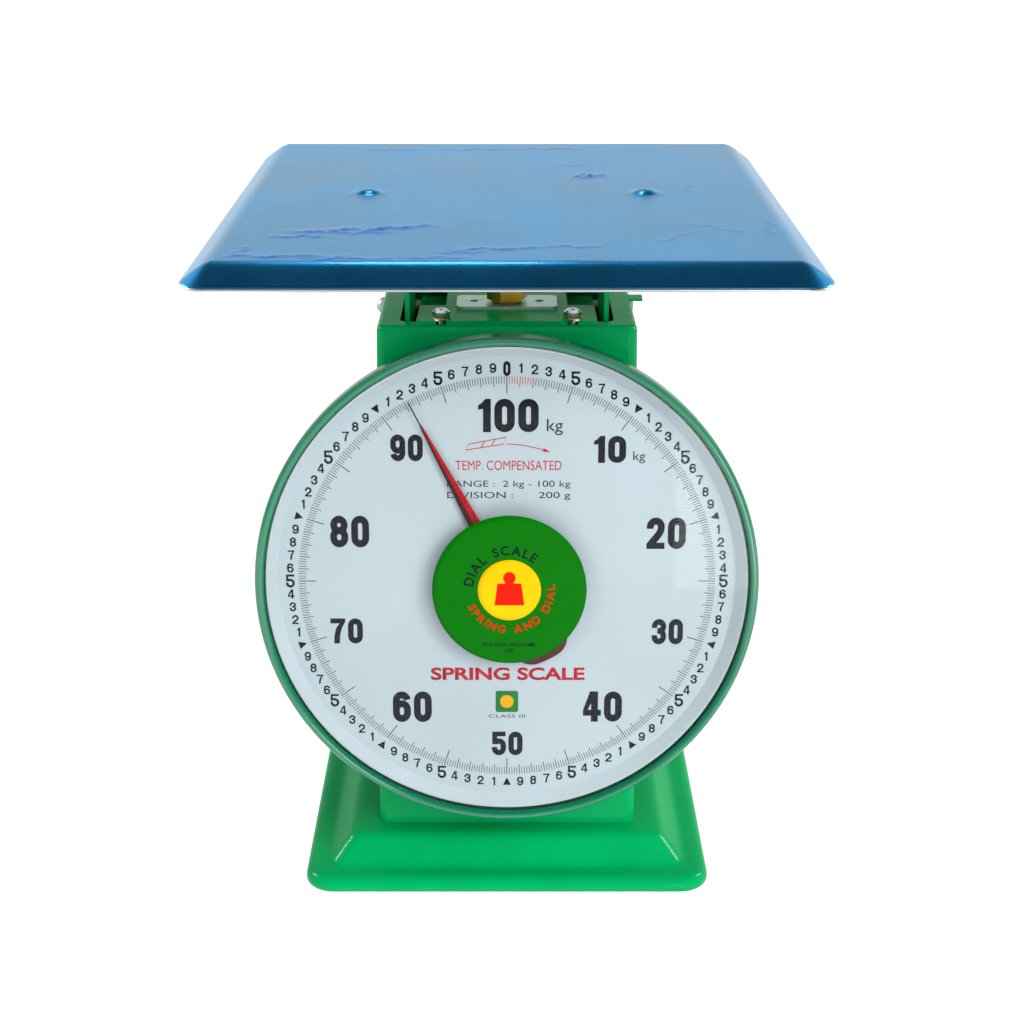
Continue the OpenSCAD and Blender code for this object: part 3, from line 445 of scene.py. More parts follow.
def spaced(half, fine):
    """Positions across a sheet, close together near both edges where it bends."""
    edge = 24
    inner = half - edge
    steps = 16
    outer = [half - edge + edge * k / steps for k in range(1, steps + 1)]
    count = int(2 * inner / fine)
    middle = [-inner + 2 * inner * k / count for k in range(count + 1)]
    return [-v for v in reversed(outer)] + middle + outer


# lifted folds in the film: x, y, length, width, turn in degrees, height, colour strength
FOLDS = [
    (-96, -102, 78, 6.5, 8, 1.0, 1.0), (-62, -94, 46, 5.0, 14, 0.8, 0.9),
    (-122, -117, 36, 4.5, 4, 0.7, 0.9), (-84, -108, 40, 3.5, 3, 0.6, 0.8),
    (58, 58, 26, 8.0, -4, 1.2, 0.8), (52, 52, 18, 5.0, 10, 0.8, 0.7),
    (46, 92, 30, 2.4, 3, 0.4, 0.3), (-20, 152, 64, 3.4, 2, 0.5, 0.6),
    (34, 154, 50, 3.2, -2, 0.5, 0.6), (-84, 150, 44, 3.2, 3, 0.5, 0.55),
    (-6, -146, 62, 4.0, 3, 0.7, 0.8), (38, -141, 36, 3.6, -6, 0.6, 0.75),
    (-26, -154, 32, 3.0, 2, 0.6, 0.6), (-122, -163, 76, 4.2, 1, 0.8, 1.0),
    (-90, -168, 60, 3.4, 0, 0.6, 0.9), (-40, -166, 44, 3.0, 1, 0.5, 0.7),
    (-150, -150, 26, 3.4, 70, 0.6, 0.8), (156, -96, 50, 3.0, 82, 0.5, 0.6),
    (98, -118, 40, 1.8, 52, 0.4, 0.3), (126, -96, 44, 1.8, -38, 0.4, 0.3),
    (120, 20, 34, 1.8, 75, 0.4, 0.25), (-70, -60, 60, 1.2, 82, 0.3, 0.25),
]


def film_bump(x, y):
    """How far the film is lifted at a point, millimetres, and how strongly that shows in its colour."""
    raised = 0.0
    mark = 0.0
    for fx, fy, length, width, turn, height, strength in FOLDS:
        a = math.radians(turn)
        dx = x - fx
        dy = y - fy
        along = (dx * math.cos(a) + dy * math.sin(a)) / (length / 2)
        across = (-dx * math.sin(a) + dy * math.cos(a) + 1.6 * math.sin(along * 7 + fx)) / width
        weight = math.exp(-across * across * 2) * max(0.0, 1 - along ** 4)
        ragged = 0.62 + 0.38 * math.sin(along * 23 + fy) * math.sin(along * 11 + across * 3 + fx)
        raised += height * weight * ragged
        mark = max(mark, strength * weight * ragged)
    for sx in (-1, 1):
        r = math.hypot(x - sx * BOLT_X, y)
        if r < DOME_HALF:
            raised += math.sqrt(DOME_R ** 2 - r * r) - math.sqrt(DOME_R ** 2 - DOME_HALF ** 2)
        raised += 0.5 * math.exp(-((r - DOME_HALF) / 4) ** 2)
    ripple = math.sin(x * 0.09 + 2) * math.sin(y * 0.05 + x * 0.02) + math.sin(x * 0.031 - y * 0.043)
    raised += 0.05 * (ripple + 2)
    return raised, min(1.0, mark)


tray = thicken(tray_sheet("tray", 0, 0, STEEL, 12), PLATFORM_T * MM)
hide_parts("platform_tray")
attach(tray, "load_frame")

film = thicken(tray_sheet("film", FILM_EDGE, FILM_GAP, FILM, 1.6, film_bump), FILM_SHEET_T * MM)
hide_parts("platform_film")
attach(film, "load_frame")


# ---------- base ----------

# upward profile of the base pan: inset from the rim, height, corner radius
BASE_PROFILE = [
    (0, 1.5, 20), (0, 3.5, 20), (0.5, 5.6, 19.5), (1.5, 7.2, 18.5), (2.9, 8.5, 17.1), (4.7, 9.4, 15.3),
    (7, 9.9, 13), (9.6, 10.05, 12.2), (12.6, 10.05, 11.4), (14.8, 10.3, 10.8), (16.4, 11.0, 10.4),
    (17.8, 12.2, 10), (27.3, 21.8, 7.6), (28.6, 23.1, 7.2), (29.8, 24.1, 6.8), (31.2, 24.9, 6.4),
    (32.8, 25.5, 6), (34.8, 25.9, 5.6), (37.2, 26, 5.2), (40, 26, 5), (66, 26, 5),
]


def base_loops():
    loops = []
    for inset, z, r in BASE_PROFILE:
        outline = rounded_loop(BASE_W / 2 - inset, BASE_D / 2 - inset, r)
        loops.append([(x * MM, (y + BASE_Y) * MM, z * MM) for x, y in outline])
    return loops


base = thicken(stacked_loops("base_shell", base_loops(), PAINT), BASE_SHEET_T * MM)
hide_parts("base_pan")
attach(base, "case")


# ---------- printing on the dial ----------

def text_mesh(name, words, width, height, mat, bold=0.0, thick=PRINT_UP):
    """Flat raised lettering, fitted to a width and height in millimetres, centred on its box."""
    curve = bpy.data.curves.new(name, "FONT")
    curve.body = words
    curve.align_x = "CENTER"
    curve.offset = bold
    curve.resolution_u = 4
    obj = bpy.data.objects.new(name, curve)
    bpy.context.scene.collection.objects.link(obj)
    bpy.context.view_layer.update()
    graph = bpy.context.evaluated_depsgraph_get()
    mesh = bpy.data.meshes.new_from_object(obj.evaluated_get(graph))
    bpy.data.objects.remove(obj)
    xs = [v.co.x for v in mesh.vertices]
    ys = [v.co.y for v in mesh.vertices]
    sy = height / (max(ys) - min(ys))
    sx = width / (max(xs) - min(xs)) if width else sy
    cx = (max(xs) + min(xs)) / 2
    cy = (max(ys) + min(ys)) / 2
    for v in mesh.vertices:
        v.co = Vector(((v.co.x - cx) * sx * MM, (v.co.y - cy) * sy * MM, 0))
    raise_flat(mesh, thick * MM)
    mesh.materials.clear()
    mesh.materials.append(mat)
    out = bpy.data.objects.new(name, mesh)
    bpy.context.scene.collection.objects.link(out)
    return out


def raise_flat(mesh, thick):
    """Turns a flat mesh into a closed slab."""
    bm = bmesh.new()
    bm.from_mesh(mesh)
    bmesh.ops.remove_doubles(bm, verts=bm.verts, dist=1e-7)
    grown = bmesh.ops.extrude_face_region(bm, geom=bm.faces[:])
    for item in grown["geom"]:
        if isinstance(item, bmesh.types.BMVert):
            item.co.z += thick
    bmesh.ops.recalc_face_normals(bm, faces=bm.faces)
    bm.to_mesh(mesh)
    bm.free()


STAND_UP = Matrix.Rotation(math.radians(90), 4, "X")


def on_dial(obj, x, z, turn=0.0, depth=DIAL_FACE):
    """Lays a flat piece on the dial plate at x, z, turned clockwise by turn degrees."""
    place = Matrix.Translation((x * MM, depth * MM, z * MM))
    spin = Matrix.Rotation(math.radians(turn), 4, "Y")
    obj.matrix_world = DIAL @ place @ spin @ STAND_UP
    return obj


def flat_shape(name, outline, mat, thick=PRINT_UP):
    """Thin raised shape from an outline in millimetres."""
    verts = [(x * MM, y * MM, 0) for x, y in outline]
    mesh = bpy.data.meshes.new(name)
    mesh.from_pydata(verts, [], [tuple(range(len(verts)))])
    raise_flat(mesh, thick * MM)
    mesh.materials.append(mat)
    obj = bpy.data.objects.new(name, mesh)
    bpy.context.scene.collection.objects.link(obj)
    return obj


KILO_TURN = 3.6
TICKS_PER_KILO = 5
TICK_OUT = 133.6
TICK_FINE = 128.8
TICK_KILO = 126.8
TICK_FIVE = 122.4
DIGIT_R = 138.9


def clock(radius, kilos):
    """Point on the dial at a radius, for a reading in kilograms."""
    a = math.radians(kilos * KILO_TURN)
    return radius * math.sin(a), radius * math.cos(a)


def arc(cx, cy, rx, ry, start, end, steps=14):
    """Points along part of an ellipse, angles in degrees."""
    points = []
    for i in range(steps + 1):
        a = math.radians(start + (end - start) * i / steps)
        points.append((cx + rx * math.cos(a), cy + ry * math.sin(a)))
    return points


def ribbon(path, width, closed=False):
    """Flat band of even width along a path: its points and quads."""
    count = len(path)
    left = []
    right = []
    for i, (x, y) in enumerate(path):
        if closed:
            x0, y0 = path[i - 1]
            x1, y1 = path[(i + 1) % count]
        else:
            x0, y0 = path[max(i - 1, 0)]
            x1, y1 = path[min(i + 1, count - 1)]
        run = math.hypot(x1 - x0, y1 - y0)
        nx = -(y1 - y0) / run
        ny = (x1 - x0) / run
        left.append((x + nx * width / 2, y + ny * width / 2))
        right.append((x - nx * width / 2, y - ny * width / 2))
    quads = []
    for i in range(count if closed else count - 1):
        n = (i + 1) % count
        quads.append((i, n, count + n, count + i))
    return left + right, quads


def bar(x0, y0, x1, y1):
    return [(x0, y0), (x1, y0), (x1, y1), (x0, y1)], [(0, 1, 2, 3)]


def polygon(points):
    return points, [tuple(range(len(points)))]


def digit_strokes(digit, w, t):
    """Flat pieces whose union is a digit one unit high, w wide, with strokes t thick."""
    h = t / 2
    left, right, low, high = h, w - h, h, 1 - h
    cx = w / 2
    r = (right - left) / 2
    waist = 0.53
    bowl = waist + h * 0.6
    if digit == 0:
        path = arc(cx, high - r, r, r, 180, 0) + arc(cx, low + r, r, r, 0, -180)
        return [ribbon(path, t, closed=True)]
    if digit == 1:
        x = w * 0.68
        return [polygon([(x - t, 0), (x, 0), (x, 1), (x - t * 0.7, 1), (x - t - 0.04, 0.87),
                         (x - t - 0.14, 0.81), (x - t - 0.14, 0.67), (x - t, 0.7)])]
    if digit == 2:
        path = [(left, high - r - 0.06)] + arc(cx, high - r, r, r, 180, -8)
        path += [(right - 0.04, 0.53), (cx + 0.02, 0.36), (left + 0.06, 0.2), (left + 0.02, t * 0.6)]
        return [ribbon(path, t), bar(0, 0, w, t * 0.86)]
    if digit == 3:
        upper = [(left, high - r - 0.05)] + arc(cx, high - r, r, r, 180, 0)
        upper += arc(cx, waist + r, r, r, 0, -90) + [(cx - 0.07, waist)]
        lower = [(cx - 0.07, waist)] + arc(cx, waist - r, r, r, 90, 0)
        lower += arc(cx, low + r, r, r, 0, -180) + [(left, low + r + 0.06)]
        return [ribbon(upper, t), ribbon(lower, t)]
    if digit == 4:
        x = w - 0.1 * w / 0.58
        return [bar(x - t, 0, x, 1), bar(0, 0.2, w, 0.2 + t * 0.85),
                polygon([(0, 0.21), (0, 0.39), (x - t - 0.04, 1), (x - h, 1), (x - h, 0.86), (0.15, 0.37),
                         (0.15, 0.21)])]
    if digit == 5:
        path = [(left, waist - 0.03), (left + 0.05, bowl - 0.01)] + arc(cx, bowl - r, r, r, 95, 0)
        path += arc(cx, low + r, r, r, 0, -180) + [(left, low + r + 0.05)]
        stem = bar(0.02, waist - 0.06, 0.02 + t * 0.9, 1)
        return [ribbon(path, t), bar(0.02, 1 - t * 0.86, w - 0.02, 1), stem]
    if digit in (6, 9):
        ring = arc(cx, bowl - r, r, r, 180, 0) + arc(cx, low + r, r, r, 0, -180)
        hook = [(left, low + r)] + arc(cx, high - r, r, r, 180, 8)
        pieces = [ribbon(ring, t, closed=True), ribbon(hook, t)]
        if digit == 6:
            return pieces
        return [([(w - x, 1 - y) for x, y in points], faces) for points, faces in pieces]
    if digit == 7:
        return [polygon([(0, 1), (w, 1), (w, 0.87), (w * 0.76, 0.61), (w * 0.64, 0.34), (w * 0.6, 0),
                         (w * 0.6 - t, 0), (w * 0.64 - t, 0.34), (w * 0.76 - t, 0.62),
                         (w - t * 1.02, 1 - t * 0.86), (0, 1 - t * 0.86)])]
    upper = arc(cx, high - r, r * 0.94, r, 180, 0) + arc(cx, waist + r * 0.9, r * 0.94, r * 0.9, 0, -180)
    lower = arc(cx, waist - r, r, r, 180, 0) + arc(cx, low + r, r, r, 0, -180)
    return [ribbon(upper, t, closed=True), ribbon(lower, t, closed=True)]


def slab_object(points, faces):
    """Closed slab from flat faces, in glyph units and one unit thick."""
    mesh = bpy.data.meshes.new("stroke")
    mesh.from_pydata([(x, y, 0) for x, y in points], [], faces)
    raise_flat(mesh, 1.0)
    obj = bpy.data.objects.new("stroke", mesh)
    bpy.context.scene.collection.objects.link(obj)
    return obj


def digit_mesh(digit, w, t):
    """One digit as a single closed mesh, one unit high and one thick."""
    strokes = [slab_object(points, faces) for points, faces in digit_strokes(digit, w, t)]
    whole = strokes[0]
    for other in strokes[1:]:
        mod = whole.modifiers.new("join", "BOOLEAN")
        mod.operation = "UNION"
        mod.solver = "EXACT"
        mod.object = other
        bpy.context.view_layer.update()
        bake(whole)
        bpy.data.objects.remove(other)
    mesh = whole.data
    bpy.data.objects.remove(whole)
    return mesh


BOLD = [digit_mesh(digit, 0.6, 0.23) for digit in range(10)]
MEDIUM = [digit_mesh(digit, 0.68, 0.185) for digit in range(10)]
GLYPH_GAP = 0.1


def number(words, glyphs, width, height, mat):
    """Row of digits fitted to a width and height in millimetres, centred."""
    bm = bmesh.new()
    x = 0.0
    for letter in words:
        mesh = glyphs[int(letter)]
        lows = min(v.co.x for v in mesh.vertices)
        highs = max(v.co.x for v in mesh.vertices)
        piece = mesh.copy()
        piece.transform(Matrix.Translation((x - lows, 0, 0)))
        bm.from_mesh(piece)
        bpy.data.meshes.remove(piece)
        x += highs - lows + GLYPH_GAP
    total = x - GLYPH_GAP
    sx = (width / total if width else height) * MM
    fit = Matrix.Diagonal((sx, height * MM, PRINT_UP * MM, 1))
    bmesh.ops.transform(bm, matrix=fit @ Matrix.Translation((-total / 2, -0.5, 0)), verts=bm.verts)
    out = bpy.data.meshes.new("number")
    bm.to_mesh(out)
    bm.free()
    out.materials.append(mat)
    obj = bpy.data.objects.new("number", out)
    bpy.context.scene.collection.objects.link(obj)
    return obj


def ticks():
    """Scale marks for every 200 g as two lists, the dark ones and the red ones of the first 2 kg."""
    dark = []
    red = []
    for i in range(100 * TICKS_PER_KILO):
        if i % (5 * TICKS_PER_KILO) == 0:
            inner, width = TICK_FIVE, 0.62
        elif i % TICKS_PER_KILO == 0:
            inner, width = TICK_KILO, 0.5
        else:
            inner, width = TICK_FINE, 0.42
        half = width / 2
        shape = [(-half, inner), (half, inner), (half, TICK_OUT), (-half, TICK_OUT)]
        early = 0 < i <= 2 * TICKS_PER_KILO
        mark = flat_shape("tick", shape, INK_RED if early else INK_GREY)
        on_dial(mark, 0, 0, turn=i * KILO_TURN / TICKS_PER_KILO)
        (red if early else dark).append(mark)
    return dark, red


def digits():
    """Ring of small digits, with an arrowhead at every ten kilograms."""
    made = []
    for kilo in range(100):
        x, z = clock(DIGIT_R, kilo)
        if kilo == 0:
            made.append(on_dial(number("0", BOLD, 4.6, 9.4, INK_DARK), x, z - 0.6))
        elif kilo % 10 == 0:
            arrow = flat_shape("arrow", [(-2.7, 2.4), (0, -2.8), (2.7, 2.4)], INK_DARK)
            made.append(on_dial(arrow, x, z, turn=kilo * KILO_TURN))
        elif kilo % 10 == 5:
            made.append(on_dial(number("5", MEDIUM, 5.7, 8.8, INK_DARK), x, z))
        else:
            made.append(on_dial(number(str(kilo % 10), MEDIUM, None, 6.2, INK_DARK), x, z))
    return made


# large numerals: words, centre x, centre z, width, height
NUMERALS = [
    ("100", 1.0, 108.5, 37.9, 21.4), ("10", 64.9, 86.7, 20.2, 17.4), ("20", 101.5, 31.9, 25.0, 20.8),
    ("30", 103.7, -34.3, 20.2, 17.3), ("40", 62.5, -86.0, 25.4, 21.1), ("50", 0.2, -111.9, 20.2, 16.7),
    ("60", -61.8, -86.1, 25.4, 21.3), ("70", -103.5, -33.8, 20.8, 17.1), ("80", -100.1, 33.0, 24.9, 21.0),
    ("90", -63.1, 87.7, 20.5, 17.3),
]


def numerals():
    """Large numerals, their units and the small dark lines of words."""
    made = []
    for words, x, z, width, height in NUMERALS:
        made.append(on_dial(number(words, BOLD, width, height, INK_DARK), x, z))
    made.append(on_dial(text_mesh("unit", "kg", 10.1, 10.4, INK_DARK), 30.1, 101.1))
    made.append(on_dial(text_mesh("unit", "kg", 7.6, 7.8, INK_DARK), 83.3, 81.6))
    made.append(on_dial(text_mesh("range", "RANGE :  2 kg - 100 kg", 78.0, 5.4, INK_DARK), 1.2, 63.8))
    made.append(on_dial(text_mesh("step", "DIVISION :      200 g", 78.0, 5.4, INK_DARK), 1.2, 56.4))
    made.append(on_dial(text_mesh("kind", "CLASS III", 24.0, 2.2, INK_DARK), 0.0, -92.6))
    return made


# drawing of a bimetal strip with an arrow, in millimetres from the dial's centre
STRIP_OUTLINE = [(-25.8, 86.3), (-24.1, 90.1), (-0.4, 94.6), (-2.4, 90.1)]
STRIP_RUNGS = [[(-16.1, 88.0), (-14.1, 91.8)], [(-9.4, 89.4), (-7.4, 93.4)]]
STRIP_ARROW = [(-0.4, 90.2), (5.4, 90.0), (11.2, 89.2), (17.2, 87.9), (23.4, 86.2)]


def line_mark(path, width, mat, closed=False):
    """Printed line of even width along a path."""
    points, quads = ribbon(path, width, closed)
    mesh = bpy.data.meshes.new("line")
    mesh.from_pydata([(x * MM, y * MM, 0) for x, y in points], [], quads)
    raise_flat(mesh, PRINT_UP * MM)
    mesh.materials.append(mat)
    obj = bpy.data.objects.new("line", mesh)
    bpy.context.scene.collection.objects.link(obj)
    return on_dial(obj, 0, 0)


def red_printing():
    """Strip drawing, note and title, all in red."""
    made = [line_mark(STRIP_OUTLINE, 0.6, INK_RED, closed=True), line_mark(STRIP_ARROW, 0.6, INK_RED)]
    for rung in STRIP_RUNGS:
        made.append(line_mark(rung, 0.6, INK_RED))
    made.append(on_dial(text_mesh("title", "SPRING SCALE", 100.0, 8.8, INK_RED, 0.032), 0.6, -63.2))
    made.append(on_dial(text_mesh("note", "TEMP. COMPENSATED", 67.0, 6.2, INK_RED), 1.0, 76.4))
    tip = flat_shape("tip", [(-2.4, 1.3), (-2.4, -1.3), (2.4, 0)], INK_RED)
    made.append(on_dial(tip, 25.2, 85.7, turn=16))
    return made


def disc_outline(r, count=48):
    turns = [2 * math.pi * i / count for i in range(count)]
    return [(r * math.cos(a), r * math.sin(a)) for a in turns]


def rounded_outline(half_w, half_h, r):
    return rounded_loop(half_w, half_h, r, corner=5, side=2)


def print_piece(name, objects):
    """Joins printed shapes into one piece that stays with the case."""
    piece = join(name, objects)
    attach(piece, "case")
    return piece


dark_ticks, red_ticks = ticks()
print_piece("dial_ticks", dark_ticks)
print_piece("dial_ticks_red", red_ticks)
print_piece("dial_digits", digits())
print_piece("dial_numerals", numerals())
print_piece("dial_red_print", red_printing())
MARK_Z = -82.4
MARK_HALF = 7.4
MARK_CORNER_R = 1.4
MARK_DISC_R = 4.4
mark_outline = rounded_outline(MARK_HALF, MARK_HALF, MARK_CORNER_R)
mark_square = on_dial(flat_shape("mark", mark_outline, INK_GREEN), 0.0, MARK_Z)
print_piece("dial_green_mark", [mark_square])
mark_disc = flat_shape("mark_disc", disc_outline(MARK_DISC_R), STICKER_YELLOW)
on_dial(mark_disc, 0.0, MARK_Z, depth=DIAL_FACE - PRINT_UP)
print_piece("dial_yellow_mark", [mark_disc])


# ---------- sticker on the lens ----------

STICKER_X = 1.6
STICKER_Z = -2.0
STICKER_R = 49.0
STICKER_T = 0.22
STICKER_GAP = 0.03
STICKER_INK_T = 0.03
SUN_R = 20.0
SUN_LIFT = 0.04
LETTER_R = 26.2
LETTER_BOLD = 0.02


def lens_depth(x, z):
    """Depth of the lens's outer face at a point, in the dial's frame."""
    return LENS_EDGE - LENS_RISE * (1 - (x * x + z * z) / LENS_R ** 2)


def domed_disc(name, r, mat, outer, thick, rings=14, spokes=96):
    """Thin disc that follows the lens; outer is how far its face stands off the glass."""
    verts = []
    faces = []
    for layer in (outer, outer - thick):
        verts.append((0, -layer, 0))
        for j in range(1, rings + 1):
            for i in range(spokes):
                a = 2 * math.pi * i / spokes
                verts.append((r * j / rings * math.cos(a), -layer, r * j / rings * math.sin(a)))
    block = 1 + rings * spokes
    for side in (0, 1):
        first = side * block
        for i in range(spokes):
            n = (i + 1) % spokes
            faces.append((first, first + 1 + i, first + 1 + n))
            for j in range(rings - 1):
                a = first + 1 + j * spokes
                b = a + spokes
                faces.append((a + i, b + i, b + n, a + n))
    rim = 1 + (rings - 1) * spokes
    for i in range(spokes):
        n = (i + 1) % spokes
        faces.append((rim + i, block + rim + i, block + rim + n, rim + n))
    placed = []
    for x, y, z in verts:
        px = x + STICKER_X
        pz = z + STICKER_Z
        placed.append((px * MM, (y + lens_depth(px, pz)) * MM, pz * MM))
    obj = mesh_object(name, placed, faces, mat)
    obj.matrix_world = DIAL
    return obj


def domed_flat(obj_flat, outer):
    """Drapes a flat raised shape over the sticker."""
    for v in obj_flat.data.vertices:
        x = v.co.x / MM + STICKER_X
        z = v.co.y / MM + STICKER_Z
        up = v.co.z
        v.co = Vector((x * MM, (lens_depth(x, z) - outer) * MM - up, z * MM))
    obj_flat.matrix_world = DIAL
    return obj_flat


sticker = domed_disc("sticker_disc", STICKER_R, STICKER_GREEN, STICKER_T, STICKER_T - STICKER_GAP)
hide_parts("lens_sticker")
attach(sticker, "case")
sun = domed_disc("sticker_sun", SUN_R, STICKER_YELLOW, STICKER_T + SUN_LIFT, STICKER_INK_T, rings=6)
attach(sun, "case")


def weight_outline():
    """Outline of a plain balance weight: a tapered body under a knob."""
    body = [(-9.5, -10), (9.5, -10), (7.6, 4.5), (3.2, 4.5)]
    knob = arc(0, 8.2, 4.0, 4.0, -50, 230)
    return body + knob + [(-3.2, 4.5), (-7.6, 4.5)]


weight_flat = flat_shape("sticker_weight", weight_outline(), STICKER_RED, thick=STICKER_INK_T)
weight = domed_flat(weight_flat, STICKER_T + SUN_LIFT)
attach(weight, "case")


def arc_letters(words, r, middle, height, gap, mat, below=False):
    """Letters along an arc of the sticker; middle is in degrees clockwise from the top."""
    letters = []
    total = 0.0
    for letter in words:
        if letter == " ":
            letters.append((None, height * 0.5))
        else:
            obj = text_mesh("letter", letter, None, height, mat, LETTER_BOLD, STICKER_INK_T)
            letters.append((obj, obj.dimensions.x / MM))
        total += letters[-1][1] + gap
    made = []
    along = (gap - total) / 2
    for obj, width in letters:
        if obj:
            a = math.radians(middle) + (along + width / 2) / r * (-1 if below else 1)
            turn = -a + (math.pi if below else 0)
            place = Matrix.Translation((r * math.sin(a) * MM, r * math.cos(a) * MM, 0))
            obj.data.transform(place @ Matrix.Rotation(turn, 4, "Z"))
            made.append(domed_flat(obj, STICKER_T))
        along += width + gap
    return made


dark_letters = arc_letters("DIAL SCALE", LETTER_R, -22, 6.2, 1.5, INK_DARK)
for words, z in (("FOR SHOP AND HOME", -36.5), ("USE", -40.5)):
    small = text_mesh("letter", words, None, 2.4, INK_DARK, LETTER_BOLD, STICKER_INK_T)
    small.data.transform(Matrix.Translation((0, z * MM, 0)))
    dark_letters.append(domed_flat(small, STICKER_T))
dark_ring = join("sticker_letters_dark", dark_letters)
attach(dark_ring, "case")
red_letters = arc_letters("SPRING AND DIAL", LETTER_R, 165, 5.4, 1.3, STICKER_RED, below=True)
red_ring = join("sticker_letters_red", red_letters)
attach(red_ring, "case")


# ---------- pointer ----------

POINTER_Y = 10.4
TIP_START = 114
TIP_END = 132.4
TIP_R = 0.4
TIP_RISE = 0.2
POINTER = DIAL @ Matrix.Rotation(math.radians(-REST_ANGLE), 4, "Y")


def pointer_blade():
    """Folded sheet blade: half-widths along its length, with a raised centre fold; its left half gets a
    darker red copy, painted shade.
    """
    stations = [(-34, 8.0, 0.6), (-6, 9.0, 1.0), (8, 7.4, 2.2), (46, 3.9, 3.0), (80, 2.4, 2.0),
                (113, 1.0, 0.8), (117, 0.5, 0.4)]
    verts = []
    faces = []
    for z, half, fold in stations:
        verts += [(-half, 0, z), (0, -fold, z), (half, 0, z), (0, -fold + 0.6, z)]
    for k in range(len(stations) - 1):
        a = k * 4
        for i in range(4):
            n = (i + 1) % 4
            faces.append((a + i, a + n, a + 4 + n, a + 4 + i))
    last = (len(stations) - 1) * 4
    faces.append((0, 1, 2, 3))
    faces.append((last, last + 1, last + 2, last + 3))
    placed = [(x * MM, (y + POINTER_Y) * MM, z * MM) for x, y, z in verts]
    obj = mesh_object("pointer_blade", placed, faces, POINTER_RED, smooth=False)
    obj.data.materials.append(POINTER_PAINTED_SHADE)
    # Painted shade: the side faces of the left half take the darker red copy, as if turned away from the
    # light.
    for poly in obj.data.polygons:
        if poly.center.x < 0 and abs(poly.normal.z) < 0.9:
            poly.material_index = 1
    obj.matrix_world = POINTER
    return obj


def rod_mesh(name, r, start, end, mat, sides=16):
    """Round bar between two points, millimetres."""
    a = Vector(start)
    b = Vector(end)
    axis = (b - a).normalized()
    turn = Vector((0, 0, 1)).rotation_difference(axis).to_matrix().to_4x4()
    bm = bmesh.new()
    bmesh.ops.create_cone(bm, cap_ends=True, segments=sides, radius1=r * MM, radius2=r * MM,
                          depth=(b - a).length * MM)
    bmesh.ops.transform(bm, matrix=Matrix.Translation((a + b) / 2 * MM) @ turn, verts=bm.verts)
    mesh = bpy.data.meshes.new(name)
    bm.to_mesh(mesh)
    bm.free()
    mesh.materials.append(mat)
    obj = bpy.data.objects.new(name, mesh)
    bpy.context.scene.collection.objects.link(obj)
    for poly in mesh.polygons:
        poly.use_smooth = len(poly.vertices) == 4
    return obj


blade = pointer_blade()
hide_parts("pointer")
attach(blade, "pointer_spindle")
tip_y = POINTER_Y - TIP_RISE
tip = rod_mesh("pointer_tip", TIP_R, (0, tip_y, TIP_START), (0, tip_y, TIP_END), INK_DARK)
tip.matrix_world = POINTER
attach(tip, "pointer_spindle")


# ---------- main springs ----------

def swept(name, points, r, mat, sides=10):
    """Round wire along a path, millimetres, with closed ends."""
    verts = []
    faces = []
    count = len(points)
    normal = None
    for i, p in enumerate(points):
        before = Vector(points[max(i - 1, 0)])
        after = Vector(points[min(i + 1, count - 1)])
        tangent = (after - before).normalized()
        if normal is None:
            normal = tangent.orthogonal().normalized()
        normal = (normal - tangent * normal.dot(tangent)).normalized()
        side = tangent.cross(normal)
        for k in range(sides):
            a = 2 * math.pi * k / sides
            verts.append((Vector(p) + normal * math.cos(a) * r + side * math.sin(a) * r) * MM)
    for i in range(count - 1):
        for k in range(sides):
            n = (k + 1) % sides
            faces.append((i * sides + k, i * sides + n, (i + 1) * sides + n, (i + 1) * sides + k))
    faces.append(tuple(range(sides)))
    faces.append(tuple(range((count - 1) * sides, count * sides)))
    return mesh_object(name, verts, faces, mat)


SPRING_X = 28
SPRING_Y = -12
SPRING_R = 15
SPRING_WIRE_R = 2.3
SPRING_TURNS = 12
STEPS_PER_TURN = 24
SPRING_TOP = 319
SPRING_FOOT = 179
HOOK_R = 7
HOOK_TOP = 335
HOOK_FOOT = 158
HOOK_LEAD = 4


def spring_path(x):
    """Hook, coil and hook of one main spring, as one wire."""
    points = []
    for a in range(-60, 241, 15):
        t = math.radians(a)
        points.append((x, SPRING_Y + HOOK_R * math.cos(t), HOOK_TOP + HOOK_R * math.sin(t)))
    points.append((x, SPRING_Y - 1, HOOK_TOP - HOOK_R - HOOK_LEAD))
    steps = SPRING_TURNS * STEPS_PER_TURN
    for i in range(steps + 1):
        t = 2 * math.pi * i / STEPS_PER_TURN - math.pi / 2
        z = SPRING_TOP + (SPRING_FOOT - SPRING_TOP) * i / steps
        points.append((x + SPRING_R * math.cos(t), SPRING_Y + SPRING_R * math.sin(t), z))
    points.append((x, SPRING_Y - 1, HOOK_FOOT + HOOK_R + HOOK_LEAD))
    for a in range(120, 421, 15):
        t = math.radians(a)
        points.append((x, SPRING_Y + HOOK_R * math.cos(t), HOOK_FOOT + HOOK_R * math.sin(t)))
    return points


for side, sx in (("left", -1), ("right", 1)):
    wire = swept("main_spring_" + side, spring_path(sx * SPRING_X), SPRING_WIRE_R, SPRING)
    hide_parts("spring_" + side)
    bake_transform(wire)


# ---------- floor, light and camera ----------

FLOOR_HALF = 14.0
FLOOR_GLOW = 0.78
KEY_STRENGTH = 1.75
KEY_WIDTH = 46
KEY_DIRECTION = (-0.42, 0.72, -0.72)


